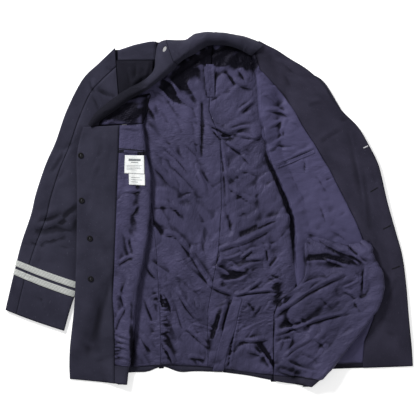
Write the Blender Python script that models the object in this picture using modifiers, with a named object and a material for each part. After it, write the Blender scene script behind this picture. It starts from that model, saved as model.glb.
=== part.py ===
"""Dress uniform jacket, laid on its back with both fronts turned open, lining up.

The tables are in millimetres, seen from above: X to the right, Y towards the collar, Z up from the
surface that the jacket lies on. Left and right in a node's name are the wearer's, so the wearer's
right side has negative X. Every panel is a grid of points moved to its place by a function that
reads a short table of sections, and gets its wall from Solidify. What lies on a panel reads the
same function, lifted along the panel's own normals.
"""
import math
from collections import namedtuple

import bmesh
import bpy
import numpy as np
from mathutils import Matrix

MM = 0.001

# Walls and gaps
CLOTH = 1.6             # wool outer cloth with its fusing
SATIN = 1.0             # lining
BRAID = 1.0
PAPER = 1.0             # woven label
GAP = 0.3               # between pieces at a seam
FRONT_SEAM_GAP = 1.0    # along the front facings, where the cloth slopes
PLY_GAP = 0.5           # between two plies that lie on each other
PATCH_ROOM = 0.4        # more under a label or welt
SATIN_LIFT = CLOTH / 2 + PLY_GAP + SATIN / 2
FACING_LIFT = CLOTH / 2 + PLY_GAP + CLOTH / 2
FLOOR = CLOTH / 2       # middle of a wall that lies on the surface
LINING_ROOM = 0.9       # the back lining stands this far off its cloth

# How laid cloth passes over a thickness and rolls at its folds
LEVEL_REACH = 24.0      # a sheet stays up this far beside what it lies on
DROP = 34.0             # plan length in which it then comes down
FOLD_RADIUS = 4.6       # soft fold at the side of an opened front
FOLD_TAIL = 18.0        # stretch that goes on under the fold
FOLD_CLEAR = 3.6        # height of a fold over what it lies on, beside its own turn
SWELL_REACH = 46.0      # how far from the fold the cloth starts to rise
WRAP_RADIUS = 5.2       # back cloth that turns over the top of the shoulder
SHOULDER_SWELL = 1.2    # the shoulder part is this much higher at its middle
NECK_PULL_FROM_Y, NECK_PULL_REACH = 250.0, 150.0    # where a back panel's top is drawn to the neck
NECK_TURN_X = -127.0    # right of this the back has no turn, because the lapel covers its edge

# Shares of a panel's grid taken by its flat part and by its turn
FLAT_SHARE = 0.64
TURN_SHARE = 0.92
WRAP_FROM, WRAP_TO = 0.7, 0.9

# Buttons
BUTTON_DIAMETER = 20.0
BUTTON_THICK = 3.4
SHANK_DIAMETER = 3.0
SHANK_HOLE = 4.4
RING_DIAMETER = 12.5
RING_THICK = 2.0
RING_ROUND = 0.8
BUTTON_SIDES = 10
BUTTON_ROOM = 3.0       # the right front lies this much higher, on its buttons
BUTTON_ROOM_FROM_Y = -262.0
BUTTON_ROOM_REACH = 60.0
BUTTON_REACH = 42.0     # and stays level this far beside the sleeve, for the lowest button
BILLOW_GAP = 3.4        # the folded-out side panel lies loosely on the front
SLEEVE_FLOOR = FLOOR + 0.1

# Small gap at the lapel's notch, open through every layer
NOTCH_X, NOTCH_Y = -108.5, 386.0
NOTCH_WIDE, NOTCH_HIGH = 8.0, 15.0
NOTCH_LEAN = -24.0      # degrees

# Hems: the lining starts this far above the cloth's edge
FRONT_RIGHT_HEM = 44.0
FRONT_LEFT_HEM = 11.0
BACK_HEM = 13.0
BILLOW_HEM = 22.0
SEAM_LINE = 361.0       # the shoulder seam, forward of the shoulder's top

# Sizes of the fronts and the folded-out side panel, to turn a distance into a share of their grids
FRONT_RIGHT_WIDE, FRONT_RIGHT_LONG = 165.0, 480.0
FRONT_LEFT_WIDE, FRONT_LEFT_LONG = 200.0, 730.0
BILLOW_LONG = 320.0

# Back lining
SIDE_SEAM_GAP = 2.2     # its side seam, and the cloth's, where the two grids differ
LINING_WRAP_TOP = 340.0 # the lining ends here below the shoulder's turn
WRAP_TO_X = -118.0      # right of this the neck is under the lapel
FOLD_REACH = 8.0        # it lies flat this far beside a front's fold
FREE_REACH = 22.0
HIGHEST_FOLD = 7.0

# Centre of the finished outline, so that the origin is at its bottom centre
CENTRE_X = -1.8
CENTRE_Y = 2.2

# Finishes: colour, roughness, metallic
WOOL = ((0.034, 0.034, 0.052), 0.85, 0.0)
LINING = ((0.058, 0.054, 0.110), 0.45, 0.0)
SILVER = ((0.55, 0.57, 0.55), 0.5, 0.2)
WHITE = ((0.80, 0.80, 0.78), 0.7, 0.0)
METAL = ((0.10, 0.10, 0.11), 0.4, 0.8)

Section = namedtuple("Section", "x_left y_left x_right y_right")
Tube = namedtuple("Tube", "x_out y_out x_in y_in bow floor depth")
Roll = namedtuple("Roll", "x_out y_out z_out x_top y_top z_top x_in y_in z_in")
Seam = namedtuple("Seam", "y x")
Mark = namedtuple("Mark", "x y")
Patch = namedtuple("Patch", "x_left y_left x_right y_right high")
Fold = namedtuple("Fold", "x_from y_from x_to y_to width height")
Wave = namedtuple("Wave", "x reach height")
Station = namedtuple("Station", "column s")

# ---------------------------------------------------------------- tables of sections, hem to top

FRONT_RIGHT = (
    Section(-337, -405, -204, -418),
    Section(-338, -352, -198, -362),
    Section(-332, -290, -192, -304),
    Section(-325, -220, -186, -232),
    Section(-322, -150, -176, -162),
    Section(-320, -78, -160, -85),
    Section(-319, 0, -151, 0),
    Section(-319, 75, -150, 75),
    Section(-319, 140, -162, 146),
    Section(-304, 200, -168, 207),
)
FACING_RIGHT_SEAM = (
    Seam(-410, -229), Seam(-304, -229), Seam(-208, -234), Seam(-78, -228),
    Seam(40, -224), Seam(136, -220), Seam(206, -217),
)
FRONT_LEFT = (
    Section(262, -382, 488, -374),
    Section(256, -330, 483, -318),
    Section(236, -252, 476, -248),
    Section(211, -160, 467, -143),
    Section(210, -85, 455, -84),
    Section(207, -12, 433, -10),
    Section(173, 67, 415, 67),
    Section(154, 106, 404, 110),
    Section(142, 148, 384, 152),
    Section(131, 203, 350, 205),
    Section(124, 250, 298, 246),
    Section(121, 288, 262, 281),
    Section(118, 322, 229, 316),
    Section(113, 352, 190, 350),
    Section(108, 372, 163, 377),
)
FACING_LEFT_SEAM = (
    Seam(-378, 367), Seam(-315, 370), Seam(-260, 392), Seam(-190, 405), Seam(-143, 395),
    Seam(-95, 378), Seam(-23, 349), Seam(28, 323), Seam(94, 290), Seam(150, 257),
    Seam(196, 227), Seam(232, 207), Seam(279, 174), Seam(335, 131), Seam(375, 118),
)
BACK_RIGHT = (
    Section(-118, -383, 30, -389),
    Section(-118, -300, 24, -300),
    Section(-120, -250, 21, -250),
    Section(-122, -200, 18, -200),
    Section(-126, -140, 15, -140),
    Section(-130, -80, 12, -80),
    Section(-150, 60, 8, 60),
    Section(-185, 150, 6, 150),
    Section(-199, 200, 5, 200),
    Section(-214, 290, 5, 290),
    Section(-221, 383, 2, 404),
)
BACK_LEFT = (
    Section(30.6, -389, 152, -409),
    Section(24.6, -300, 152, -300),
    Section(21.6, -250, 158, -250),
    Section(18.6, -200, 198, -200),
    Section(15.6, -140, 216, -140),
    Section(12.6, -80, 216, -80),
    Section(8.6, 60, 214, 60),
    Section(6.6, 150, 200, 150),
    Section(5.6, 200, 196, 200),
    Section(5.6, 290, 196, 290),
    Section(5.6, 404, 170, 344),
)
NECK_EDGE = (      # top of the back: along the shoulder, then down into the neck under the lapel
    Mark(-222, 384), Mark(-180, 398), Mark(-142, 406), Mark(-127, 405), Mark(-118, 345),
    Mark(-109, 330), Mark(-95, 340), Mark(-84, 350), Mark(-62, 372), Mark(-36, 386), Mark(-20, 396),
    Mark(2, 404),
)
SIDE_RIGHT = (
    Section(-208, -391, -118.6, -383),
    Section(-214, -300, -118.6, -300),
    Section(-214, -200, -122.6, -200),
    Section(-204, -80, -130, -80),
    Section(-194, -10, -139, -10),
    Section(-188, 34, -146, 34),
)
BILLOW = (
    Section(153, -410, 240, -423),
    Section(153, -384, 272, -392),
    Section(153, -345, 301, -356),
    Section(153, -300, 338, -312),
    Section(154, -262, 370, -270),
    Section(157, -230, 392, -236),
    Section(186, -200, 406, -200),
    Section(220, -170, 408, -168),
    Section(228, -135, 396, -135),
    Section(226, -98, 378, -100),
)
LINING_BACK_SEAM = (
    Seam(-375, -5), Seam(-240, -5), Seam(-100, 20), Seam(11, 28), Seam(170, 26),
    Seam(240, -2), Seam(350, 5),
)
VENT = (
    Section(6, -386, 33, -386),
    Section(18, -330, 46, -330),
    Section(32, -285, 60, -290),
    Section(44, -240, 70, -244),
    Section(56, -205, 79, -212),
)
SHOULDER_RIGHT = (
    Section(-217, 262, -139, 309),
    Section(-220.6, 300, -138, 326),
    Section(-223.4, 335, -137, 344),
    Section(-225, 360, -135, 360),
)
ARMHOLE_RIGHT = (
    Section(-268, 202.7, -161, 208.2),
    Section(-260, 222, -155, 226),
    Section(-240, 240, -148, 246),
    Section(-212, 262, -138, 284),
)
SLEEVE_RIGHT = (
    Tube(-491, -239, -351, -289, -6, 2.0, 5.0),
    Tube(-472, -157, -328, -212, -6, 2.0, 5.0),
    Tube(-453, -80, -291, -135, -4, 2.0, 5.0),
    Tube(-430, -11, -262, -62, 0, 0.8, 5.2),
    Tube(-418, 40, -247, 0, 0, 0.0, 5.2),
    Tube(-395, 109, -230, 66, 0, 0.0, 5.2),
    Tube(-370, 166, -218, 104, 0, 0.0, 5.2),
    Tube(-344, 240, -210, 132, 0, 0.6, 5.2),
    Tube(-306, 314, -207, 152, -4, 2.0, 5.2),
    Tube(-266, 354, -205, 164, -8, 3.4, 5.2),
    Tube(-228, 390, -207, 172, -3, 4.4, 5.2),
)
SLEEVE_LEFT = (
    Tube(297, -322, 441, -308, 6, 2.0, 5.0),
    Tube(286, -240, 430, -228, 6, 2.0, 5.0),
    Tube(272, -140, 413, -122, 4, 2.0, 5.0),
    Tube(256, -50, 396, -25, 0, 0.8, 5.2),
    Tube(240, 30, 378, 62, 0, 0.0, 5.2),
    Tube(226, 90, 358, 140, 0, 0.0, 5.2),
    Tube(217, 130, 330, 212, 0, 0.6, 5.2),
    Tube(212, 152, 303, 262, 4, 2.0, 5.2),
    Tube(208, 166, 272, 310, 8, 3.4, 5.2),
    Tube(206, 176, 240, 329, 12, 4.4, 5.2),
)
LAPEL_ROLL = (
    Roll(-292, 206, 17.0, -288, 203, 21.0, -284, 200, 17.0),
    Roll(-272, 236, 11.1, -265, 228, 27.0, -255, 222, 16.5),
    Roll(-239, 262, 11.1, -229, 251, 31.0, -219, 247, 16.5),
    Roll(-206, 286, 13.8, -196, 275, 33.0, -188, 269, 16.0),
    Roll(-170, 305, 14.2, -160, 292, 34.0, -153, 289, 13.5),
    Roll(-144, 322, 14.2, -134, 312, 35.0, -127, 308, 8.0),
    Roll(-132, 343, 14.2, -119, 327, 36.0, -109, 322, 6.0),
    Roll(-130, 372, 13.8, -107, 340, 36.0, -95, 332, 4.8),
    Roll(-123, 401, 9.0, -97, 350, 36.5, -84, 342, 4.8),
    Roll(-107, 410, 1.0, -89, 357, 37.0, -78, 350, 4.8),
)
COLLAR_ROLL = (
    Roll(-106, 410.5, 1.0, -88.2, 357.8, 37.0, -77.3, 350.8, 4.8),
    Roll(-80, 409, 0.6, -68, 371, 38.0, -62, 364, 4.8),
    Roll(-57, 410, 0.6, -48, 388, 39.0, -36, 377, 4.8),
    Roll(-36, 424, 0.6, -29, 403, 40.0, -20, 388, 4.8),
    Roll(-8, 427.5, 0.6, -4, 413, 40.0, -1, 397, 4.8),
    Roll(30, 426, 0.6, 30, 412, 40.0, 30, 398, 4.8),
    Roll(62, 421, 0.6, 58, 407, 39.0, 56, 393, 4.8),
    Roll(88, 416, 0.6, 82, 399, 36.0, 76, 385, 4.8),
    Roll(112, 407, 0.6, 101, 388, 31.0, 90, 377, 6.0),
    Roll(130, 398, 2.0, 113, 383, 27.0, 100, 372, 12.0),
)

# Largest folds of the lining: ridges are positive, troughs negative
BACK_FOLDS = (
    Fold(-26, 240, -26, 120, 12, -3.0),
    Fold(196, -18, 12, -122, 15, 5.0),
    Fold(-72, -115, -8, -185, 16, 5.0),
    Fold(-115, 150, -48, 86, 16, 4.0),
    Fold(-60, 160, -16, 50, 15, 4.0),
    Fold(-72, -208, -30, -270, 15, 4.5),
    Fold(30, 150, 130, 200, 18, 3.5),
    Fold(130, -80, 80, -150, 16, 4.5),
    Fold(-118, -200, -118, -370, 14, 3.0),
    Fold(14, -250, 40, -340, 14, -3.0),
)
BILLOW_FOLDS = (
    Fold(330, -152, 190, -250, 20, 9.0),
    Fold(345, -250, 215, -308, 18, 8.0),
    Fold(240, -330, 185, -372, 15, 6.0),
    Fold(385, -150, 320, -120, 15, 5.0),
    Fold(262, -268, 350, -212, 14, -3.0),
)
FRONT_LEFT_FOLDS = (
    Fold(155, 110, 258, 150, 14, 4.0),
    Fold(140, 230, 215, 170, 18, 3.5),
    Fold(235, -90, 350, -60, 18, 5.0),
    Fold(215, 30, 300, -20, 16, 3.5),
)
FRONT_RIGHT_FOLDS = (
    Fold(-200, 150, -190, 20, 20, 2.5),
    Fold(-205, -120, -195, -230, 14, 3.0),
    Fold(-212, -300, -200, -380, 12, 2.5),
)
HEM_WAVES = (Wave(-115, 26, 8.0), Wave(-150, 22, -3.0), Wave(-70, 24, -4.0), Wave(90, 40, 2.0))

BUTTON_PLACES = (Mark(-310, 132), Mark(-308, 24), Mark(-288, -67), Mark(-286, -164))
WELT_RIGHT = Patch(-216, 149, -158, 143, 11)
WELT_LEFT = Patch(161, 111, 252, 147, 9)
LABEL_UPPER = Patch(-204, 131, -156, 129, 42)
LABEL_LOWER = Patch(-194, 88, -155, 86, 26)
BRAIDS = (("lower", 86.0), ("upper", 107.0))    # name, and distance from the cuff's edge
BRAID_WIDTH = 15.0

# Grid columns round a sleeve: its upper piece first, then its under piece
UPPER_COLUMNS = 9
SLEEVE_COLUMNS = 18
ROUND_RIGHT = (
    Station(0, 0.137), Station(4, 0.44), Station(8, 0.56), Station(9, 0.655), Station(12, 0.94),
    Station(16, 1.06), Station(18, 1.137),
)
ROUND_LEFT = (
    Station(0, -0.155), Station(1, -0.06), Station(5, 0.06), Station(9, 0.363), Station(11, 0.44),
    Station(15, 0.56), Station(18, 0.845),
)
SLEEVE_END = 0.12       # share of a sleeve's width on its grid that its rounded edge takes
SLEEVE_ROWS = 10
SLEEVE_SEAM = 0.002     # its seams, as a share of the way round


# ---------------------------------------------------------------- reading the tables

def along(table, v):
    """Every column of a table at v, 0 at its first row and 1 at its last, on a smooth curve."""
    rows = np.array(table, float)
    place = np.clip(v, 0, 1) * (len(rows) - 1)
    k = np.minimum(place.astype(int), len(rows) - 2)
    t = (place - k)[:, None]
    before, here, after, beyond = (rows[np.clip(k + i, 0, len(rows) - 1)] for i in (-1, 0, 1, 2))
    curve = (2 * here + (after - before) * t
             + (2 * before - 5 * here + 4 * after - beyond) * t ** 2
             + (3 * here - before - 3 * after + beyond) * t ** 3) / 2
    return type(table[0])(*curve.T)


def smoothstep(x):
    x = np.clip(x, 0, 1)
    return x * x * (3 - 2 * x)


def seam_x(seam, y):
    return np.interp(y, [row.y for row in seam], [row.x for row in seam])


def folds(x, y, table):
    """Height that a table of folds adds: a soft ridge or trough along each line, fading at its ends."""
    total = np.zeros_like(x)
    for fold in table:
        run = np.array([fold.x_to - fold.x_from, fold.y_to - fold.y_from], float)
        length = np.hypot(*run)
        run /= length
        far = (x - fold.x_from) * run[0] + (y - fold.y_from) * run[1]
        side = (y - fold.y_from) * run[0] - (x - fold.x_from) * run[1]
        past = np.maximum(np.maximum(-far, far - length), 0)
        total += fold.height * np.exp(-(side ** 2 + past ** 2) / fold.width ** 2)
    return total


def lifted(place, s, t, lift, step=1e-3):
    """Points of a panel moved out along its own normals."""
    points = place(s, t)
    if not lift:
        return points
    ds = place(s + step, t) - place(s - step, t)
    dt = place(s, t + step) - place(s, t - step)
    normal = np.cross(ds, dt)
    normal /= np.linalg.norm(normal, axis=1)[:, None]
    return points + lift * normal


# ---------------------------------------------------------------- how the layers lie on each other

class Layer:
    """Something that a sheet lies on: its section lines in plan and the height of its upper side."""
    lines = 70

    def __init__(self, table, top, surface=None, reach=LEVEL_REACH):
        self.reach = reach
        rows = along(table, np.linspace(0, 1, self.lines))
        self.ends = np.stack(rows[:4], axis=1)
        self.tops = top(rows) * np.ones(self.lines)
        self.surface = surface

    def height(self, x, y):
        """Upper side at each point, read from the nearest section line, and falling off beside it."""
        nearest = np.full(x.shape, 1e9)
        top = np.zeros(x.shape)
        for (ax, ay, bx, by), line_top in zip(self.ends, self.tops):
            dx, dy = bx - ax, by - ay
            f = np.clip(((x - ax) * dx + (y - ay) * dy) / (dx * dx + dy * dy), 0, 1)
            away = np.hypot(x - ax - f * dx, y - ay - f * dy)
            top = np.where(away < nearest, line_top, top)
            nearest = np.minimum(nearest, away)
        if self.surface:
            top = self.surface(x, y)
        return top * smoothstep(1 - (nearest - self.reach) / DROP)


def resting(x, y, layers):
    """Middle height of a cloth wall that lies on these layers, or else on the surface."""
    top = np.zeros_like(x)
    for layer in layers:
        top = np.maximum(top, layer.height(x, y))
    return top + GAP * np.clip(top, 0, 1) + FLOOR


class FoldedPanel:
    """A laid panel with a soft fold along one side, where the cloth turns under.

    s runs from its left edge to its right one and t from its hem up. fold is 1 where the fold is
    the right edge and -1 where it is the left one.
    """

    def __init__(self, table, fold, layers, under_fold, room=None, ridges=()):
        self.table, self.fold = table, fold
        self.layers, self.under_fold = layers, under_fold
        self.room, self.ridges = room, ridges
        rows = along(table, np.linspace(0, 1, 90))
        edge = (rows.y_right, rows.x_right) if fold > 0 else (rows.y_left, rows.x_left)
        order = np.argsort(edge[0])
        self.edge_y, self.edge_x = edge[0][order], edge[1][order]

    def edge(self, y):
        return np.interp(y, self.edge_y, self.edge_x)

    def height(self, x, y):
        """Middle height of the panel's cloth, which rises towards its fold."""
        inward = self.fold * (self.edge(y) - x)
        swell = (2 * FOLD_RADIUS + FOLD_CLEAR) * smoothstep(1 - inward / SWELL_REACH)
        z = resting(x, y, self.layers)
        if self.room:
            z = z + self.room(y)
        z = np.maximum(z, resting(x, y, self.under_fold) + swell)
        return z + np.maximum(folds(x, y, self.ridges), 0)

    def __call__(self, s, t):
        row = along(self.table, t)
        share = s if self.fold > 0 else 1 - s
        across = np.clip(share / FLAT_SHARE, 0, 1)
        turn = np.clip((share - FLAT_SHARE) / (TURN_SHARE - FLAT_SHARE), 0, 1) * math.pi
        tail = np.clip((share - TURN_SHARE) / (1 - TURN_SHARE), 0, 1) * FOLD_TAIL
        if self.fold < 0:
            across = 1 - across
        x = row.x_left + (row.x_right - row.x_left) * across
        y = row.y_left + (row.y_right - row.y_left) * across
        z = self.height(x, y) - FOLD_RADIUS * (1 - np.cos(turn))
        x = x + self.fold * (FOLD_RADIUS * np.sin(turn) - tail)
        return np.stack([x, y, z], axis=1)

    def share_of(self, x, y):
        """Where a point in plan lies on the panel, as s and t."""
        v = np.linspace(0, 1, 200)
        rows = along(self.table, v)
        t = np.interp(y, (rows.y_left + rows.y_right) / 2, v)
        row = along(self.table, np.atleast_1d(t))
        across = (x - row.x_left) / (row.x_right - row.x_left)
        return across * FLAT_SHARE + (0 if self.fold > 0 else 1 - FLAT_SHARE), t

    def seam(self, seam):
        """A seam's place on the panel, as a function of t."""
        def at(t):
            row = along(self.table, t)
            x = seam_x(seam, (row.y_left + row.y_right) / 2)
            across = (x - row.x_left) / (row.x_right - row.x_left)
            return across * FLAT_SHARE + (0 if self.fold > 0 else 1 - FLAT_SHARE)
        return at


LINING_TOP = CLOTH + PLY_GAP + SATIN + LINING_ROOM
ON_BACK = tuple(Layer(table, lambda rows: LINING_TOP) for table in (BACK_RIGHT, BACK_LEFT, SIDE_RIGHT))


def sleeve_top(rows):
    """Upper side of a sleeve with its braid."""
    return SLEEVE_FLOOR + CLOTH / 2 + rows[5] + rows[6] + BRAID + 2 * GAP


ON_SLEEVE_RIGHT = Layer(SLEEVE_RIGHT, sleeve_top, reach=BUTTON_REACH)
ON_SLEEVE_LEFT = Layer(SLEEVE_LEFT, sleeve_top)


def button_room(y):
    return BUTTON_ROOM * smoothstep((y - BUTTON_ROOM_FROM_Y) / BUTTON_ROOM_REACH)


def armhole_right(s, t):
    """Lining of the right armhole, deep under the lapel."""
    row = along(ARMHOLE_RIGHT, t)
    x = row.x_left + (row.x_right - row.x_left) * s
    y = row.y_left + (row.y_right - row.y_left) * s
    z = resting(x, y, ON_BACK + (ON_SLEEVE_RIGHT,)) - FLOOR + SATIN / 2
    return np.stack([x, y, z], axis=1)


FRONT_RIGHT_PANEL = FoldedPanel(FRONT_RIGHT, 1, ON_BACK + (ON_SLEEVE_RIGHT,), ON_BACK, button_room,
                                FRONT_RIGHT_FOLDS)
FRONT_LEFT_PANEL = FoldedPanel(FRONT_LEFT, -1, ON_BACK + (ON_SLEEVE_LEFT,), ON_BACK, None,
                               FRONT_LEFT_FOLDS)


def front_left_top(x, y):
    return FRONT_LEFT_PANEL.height(x, y) + FACING_LIFT + CLOTH / 2 + BILLOW_GAP


ON_FRONT_LEFT = Layer(FRONT_LEFT, lambda rows: 0, front_left_top)
BILLOW_PANEL = FoldedPanel(BILLOW, 1, (ON_BACK[1], ON_FRONT_LEFT), (ON_BACK[1], ON_FRONT_LEFT), None,
                           BILLOW_FOLDS)


# ---------------------------------------------------------------- level panels, sleeves and rolls

def level_panel(table, height, meets=None):
    """A panel that lies level: s across, t from the hem up, with the hem's waves."""
    def place(s, t):
        row = along(table, t)
        right = row.x_right if meets is None else meets(row.y_right) - SIDE_SEAM_GAP
        x = row.x_left + (right - row.x_left) * s
        y = row.y_left + (row.y_right - row.y_left) * s
        for wave in HEM_WAVES:
            y = y + wave.height * np.exp(-((x - wave.x) / wave.reach) ** 2) * (1 - t) ** 8
        return np.stack([x, y, np.full_like(x, height)], axis=1)
    return place


def to_neck(points, t, short=0.0):
    """Draw the top of a back panel to the shoulder's line and into the neck."""
    top = np.interp(points[:, 0], [mark.x for mark in NECK_EDGE], [mark.y for mark in NECK_EDGE]) - short
    pull = np.where(t >= 1, 1, smoothstep((points[:, 1] - NECK_PULL_FROM_Y) / NECK_PULL_REACH) * t ** 6)
    points[:, 1] += (top - points[:, 1]) * pull
    return points


def back_right(s, t):
    """The right back on the surface, and past WRAP_FROM its turn over the top of the shoulder."""
    body = np.clip(t / WRAP_FROM, 0, 1)
    points = to_neck(level_panel(BACK_RIGHT, FLOOR)(s, body), body, WRAP_RADIUS)
    angle = math.pi * np.clip((t - WRAP_FROM) / (WRAP_TO - WRAP_FROM), 0, 1)
    reach = points[:, 1] - SEAM_LINE - GAP
    points[:, 1] += WRAP_RADIUS * np.sin(angle) - np.clip((t - WRAP_TO) / (1 - WRAP_TO), 0, 1) * reach
    points[:, 2] += WRAP_RADIUS * (1 - np.cos(angle))
    return points


def shoulder_right(s, t):
    """The part of the right front between armhole, shoulder seam and lapel, outside up."""
    row = along(SHOULDER_RIGHT, t)
    x = row.x_left + (row.x_right - row.x_left) * s
    y = row.y_left + (row.y_right - row.y_left) * s
    z = np.full_like(x, FLOOR + 2 * WRAP_RADIUS)
    z += SHOULDER_SWELL * np.sin(math.pi * s) * np.sin(math.pi * t)
    return np.stack([x, y, z], axis=1)


def sleeve(table):
    """A flattened tube: s runs round it from its left edge over the upper side, t from the cuff up."""
    def place(s, t):
        row = along(table, t)
        from_left = 2 * np.minimum(s % 1, 1 - s % 1)
        radius = row.depth / 2
        wide = np.hypot(row.x_in - row.x_out, row.y_in - row.y_out)
        from_edge = np.minimum(from_left, 1 - from_left)
        angle = math.pi / 2 * np.clip(from_edge / SLEEVE_END, 0, 1)
        flat_share = np.maximum(from_edge - SLEEVE_END, 0) / (1 - 2 * SLEEVE_END)
        inward = (radius * (1 - np.cos(angle)) + (wide - 2 * radius) * flat_share) / wide
        share = np.where(from_left < 0.5, inward, 1 - inward)
        x = row.x_out + (row.x_in - row.x_out) * share + 4 * share * (1 - share) * row.bow
        y = row.y_out + (row.y_in - row.y_out) * share
        side = np.where(s % 1 < 0.5, 1, -1)
        z = SLEEVE_FLOOR + row.floor + radius * (1 + side * np.sin(angle))
        return np.stack([x, y, z], axis=1)
    return place


def roll(table):
    """A rolled edge: s from its outer foot over the crest to its inner foot, t along it."""
    def place(s, t):
        row = along(table, t)
        angle = math.pi * s
        outer = s < 0.5
        lean, rise = np.abs(np.cos(angle)), np.sin(angle)
        x = row.x_top + (np.where(outer, row.x_out, row.x_in) - row.x_top) * lean
        y = row.y_top + (np.where(outer, row.y_out, row.y_in) - row.y_top) * lean
        foot = np.where(outer, row.z_out, row.z_in)
        return np.stack([x, y, foot + (row.z_top - foot) * rise], axis=1)
    return place


def right_side_seam(y):
    """The seam between the right back and side panels."""
    rows = along(BACK_RIGHT, np.linspace(0, 1, 90))
    return np.interp(y, rows.y_left, rows.x_left)


def back_lining(table, seam_side, top=0.0):
    """A lining on a level back panel.

    Its right or left edge, which seam_side names, follows the lining's own centre seam. The side
    panel's lining has "side" there and ends at the side seam.
    """
    def place(s, t):
        row = along(table, t)
        left, right = row.x_left, row.x_right
        if seam_side == "right":
            right = seam_x(LINING_BACK_SEAM, row.y_right) - GAP
        elif seam_side == "left":
            left = seam_x(LINING_BACK_SEAM, row.y_left) + GAP
        else:
            right = right_side_seam(row.y_right) - SIDE_SEAM_GAP
        x = left + (right - left) * s
        y = row.y_left + (row.y_right - row.y_left) * s
        points = np.stack([x, y, np.full_like(x, FLOOR + SATIN_LIFT)], axis=1)
        if seam_side == "right":
            points = to_neck(points, t)
            points[:, 1] = np.minimum(points[:, 1], np.where(x < WRAP_TO_X, top, points[:, 1]))
        points[:, 1] += BACK_HEM * (1 - t) ** 12
        free = (smoothstep((x - FRONT_RIGHT_PANEL.edge(y) - FOLD_REACH) / FREE_REACH)
                * smoothstep((FRONT_LEFT_PANEL.edge(y) - x - FOLD_REACH) / FREE_REACH))
        points[:, 2] += np.clip(LINING_ROOM / 2 + folds(x, y, BACK_FOLDS), 0, HIGHEST_FOLD) * free
        return points
    return place


# ---------------------------------------------------------------- making the pieces

def material(name, colour, roughness, metallic=0.0):
    paint = bpy.data.materials.new(name)
    paint.use_nodes = True
    shader = paint.node_tree.nodes["Principled BSDF"]
    shader.inputs["Base Color"].default_value = (*colour, 1)
    shader.inputs["Roughness"].default_value = roughness
    shader.inputs["Metallic"].default_value = metallic
    paint.diffuse_color = (*colour, 1)
    return paint


def add_object(name, mesh, collection, finish):
    data = bpy.data.meshes.new(name)
    mesh.to_mesh(data)
    mesh.free()
    data.shade_smooth()
    made = bpy.data.objects.new(name, data)
    made.data.materials.append(material(name, *finish))
    collection.objects.link(made)
    return made


def in_world(x, y, z=0.0):
    return ((x - CENTRE_X) * MM, (y - CENTRE_Y) * MM, z * MM)


def cloth(name, place, columns, rows, wall, finish, collection, keep=None, ring=False):
    """A grid of quads moved to place(s, t), then given its wall."""
    mesh = bmesh.new()
    bmesh.ops.create_grid(mesh, x_segments=columns, y_segments=rows, size=0.5)
    grid = np.array([vertex.co[:2] for vertex in mesh.verts]) + 0.5
    for vertex, point in zip(mesh.verts, place(grid[:, 0], grid[:, 1])):
        vertex.co = in_world(*point)
    if keep:
        kept = dict(zip(mesh.verts, keep(grid[:, 0], grid[:, 1])))
        spare = [face for face in mesh.faces if not all(kept[vertex] for vertex in face.verts)]
        bmesh.ops.delete(mesh, geom=spare, context="FACES")
        bmesh.ops.delete(mesh, geom=[v for v in mesh.verts if not v.link_faces], context="VERTS")
    if ring:
        bmesh.ops.remove_doubles(mesh, verts=mesh.verts, dist=0.01 * MM)
    made = add_object(name, mesh, collection, finish)
    solid = made.modifiers.new("wall", "SOLIDIFY")
    solid.thickness = wall * MM
    solid.offset = 0
    return made


def between(place, start, end, lift, rows_from=0.0):
    """A piece that lies on a panel from s=start(t) to s=end(t), lifted off it."""
    def piece(s, t):
        t = rows_from + (1 - rows_from) * t
        first, last = start(t), end(t)
        return lifted(place, first + (last - first) * s, t, lift)
    return piece


def matched(place, seam, left_columns, columns, hem_share=0.0, rows=1):
    """The cloth under two pieces that meet at a seam, with its grid points under theirs."""
    def piece(s, t):
        if hem_share:
            t = np.interp(t * rows, (0, 1, rows), (0, hem_share, 1))
        k, edge = s * columns, seam(t)
        s = np.where(k <= left_columns, edge * k / left_columns,
                     edge + (1 - edge) * (k - left_columns) / (columns - left_columns))
        return place(s, t)
    return piece


def at(value):
    return lambda t: 0 * t + value


def cut(made, cutter):
    """Subtract a cutter from the triangles that the piece has."""
    if "faces" not in made.modifiers:
        made.modifiers.new("faces", "TRIANGULATE").quad_method = "FIXED"
    hole = made.modifiers.new("hole", "BOOLEAN")
    hole.operation = "DIFFERENCE"
    hole.object = cutter
    hole.solver = "EXACT"


def oval_cutter(name, x, y, wide, high, lean, collection):
    """An upright oval cutter through every layer."""
    mesh = bmesh.new()
    bmesh.ops.create_cone(mesh, cap_ends=True, segments=14, radius1=0.5, radius2=0.5, depth=200 * MM)
    bmesh.ops.scale(mesh, vec=(wide * MM, high * MM, 1), verts=mesh.verts)
    bmesh.ops.rotate(mesh, matrix=Matrix.Rotation(math.radians(lean), 3, "Z"), verts=mesh.verts)
    bmesh.ops.translate(mesh, vec=in_world(x, y), verts=mesh.verts)
    made = add_object(name, mesh, collection, METAL)
    made.hide_render = True
    made.display_type = "WIRE"
    return made


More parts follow.
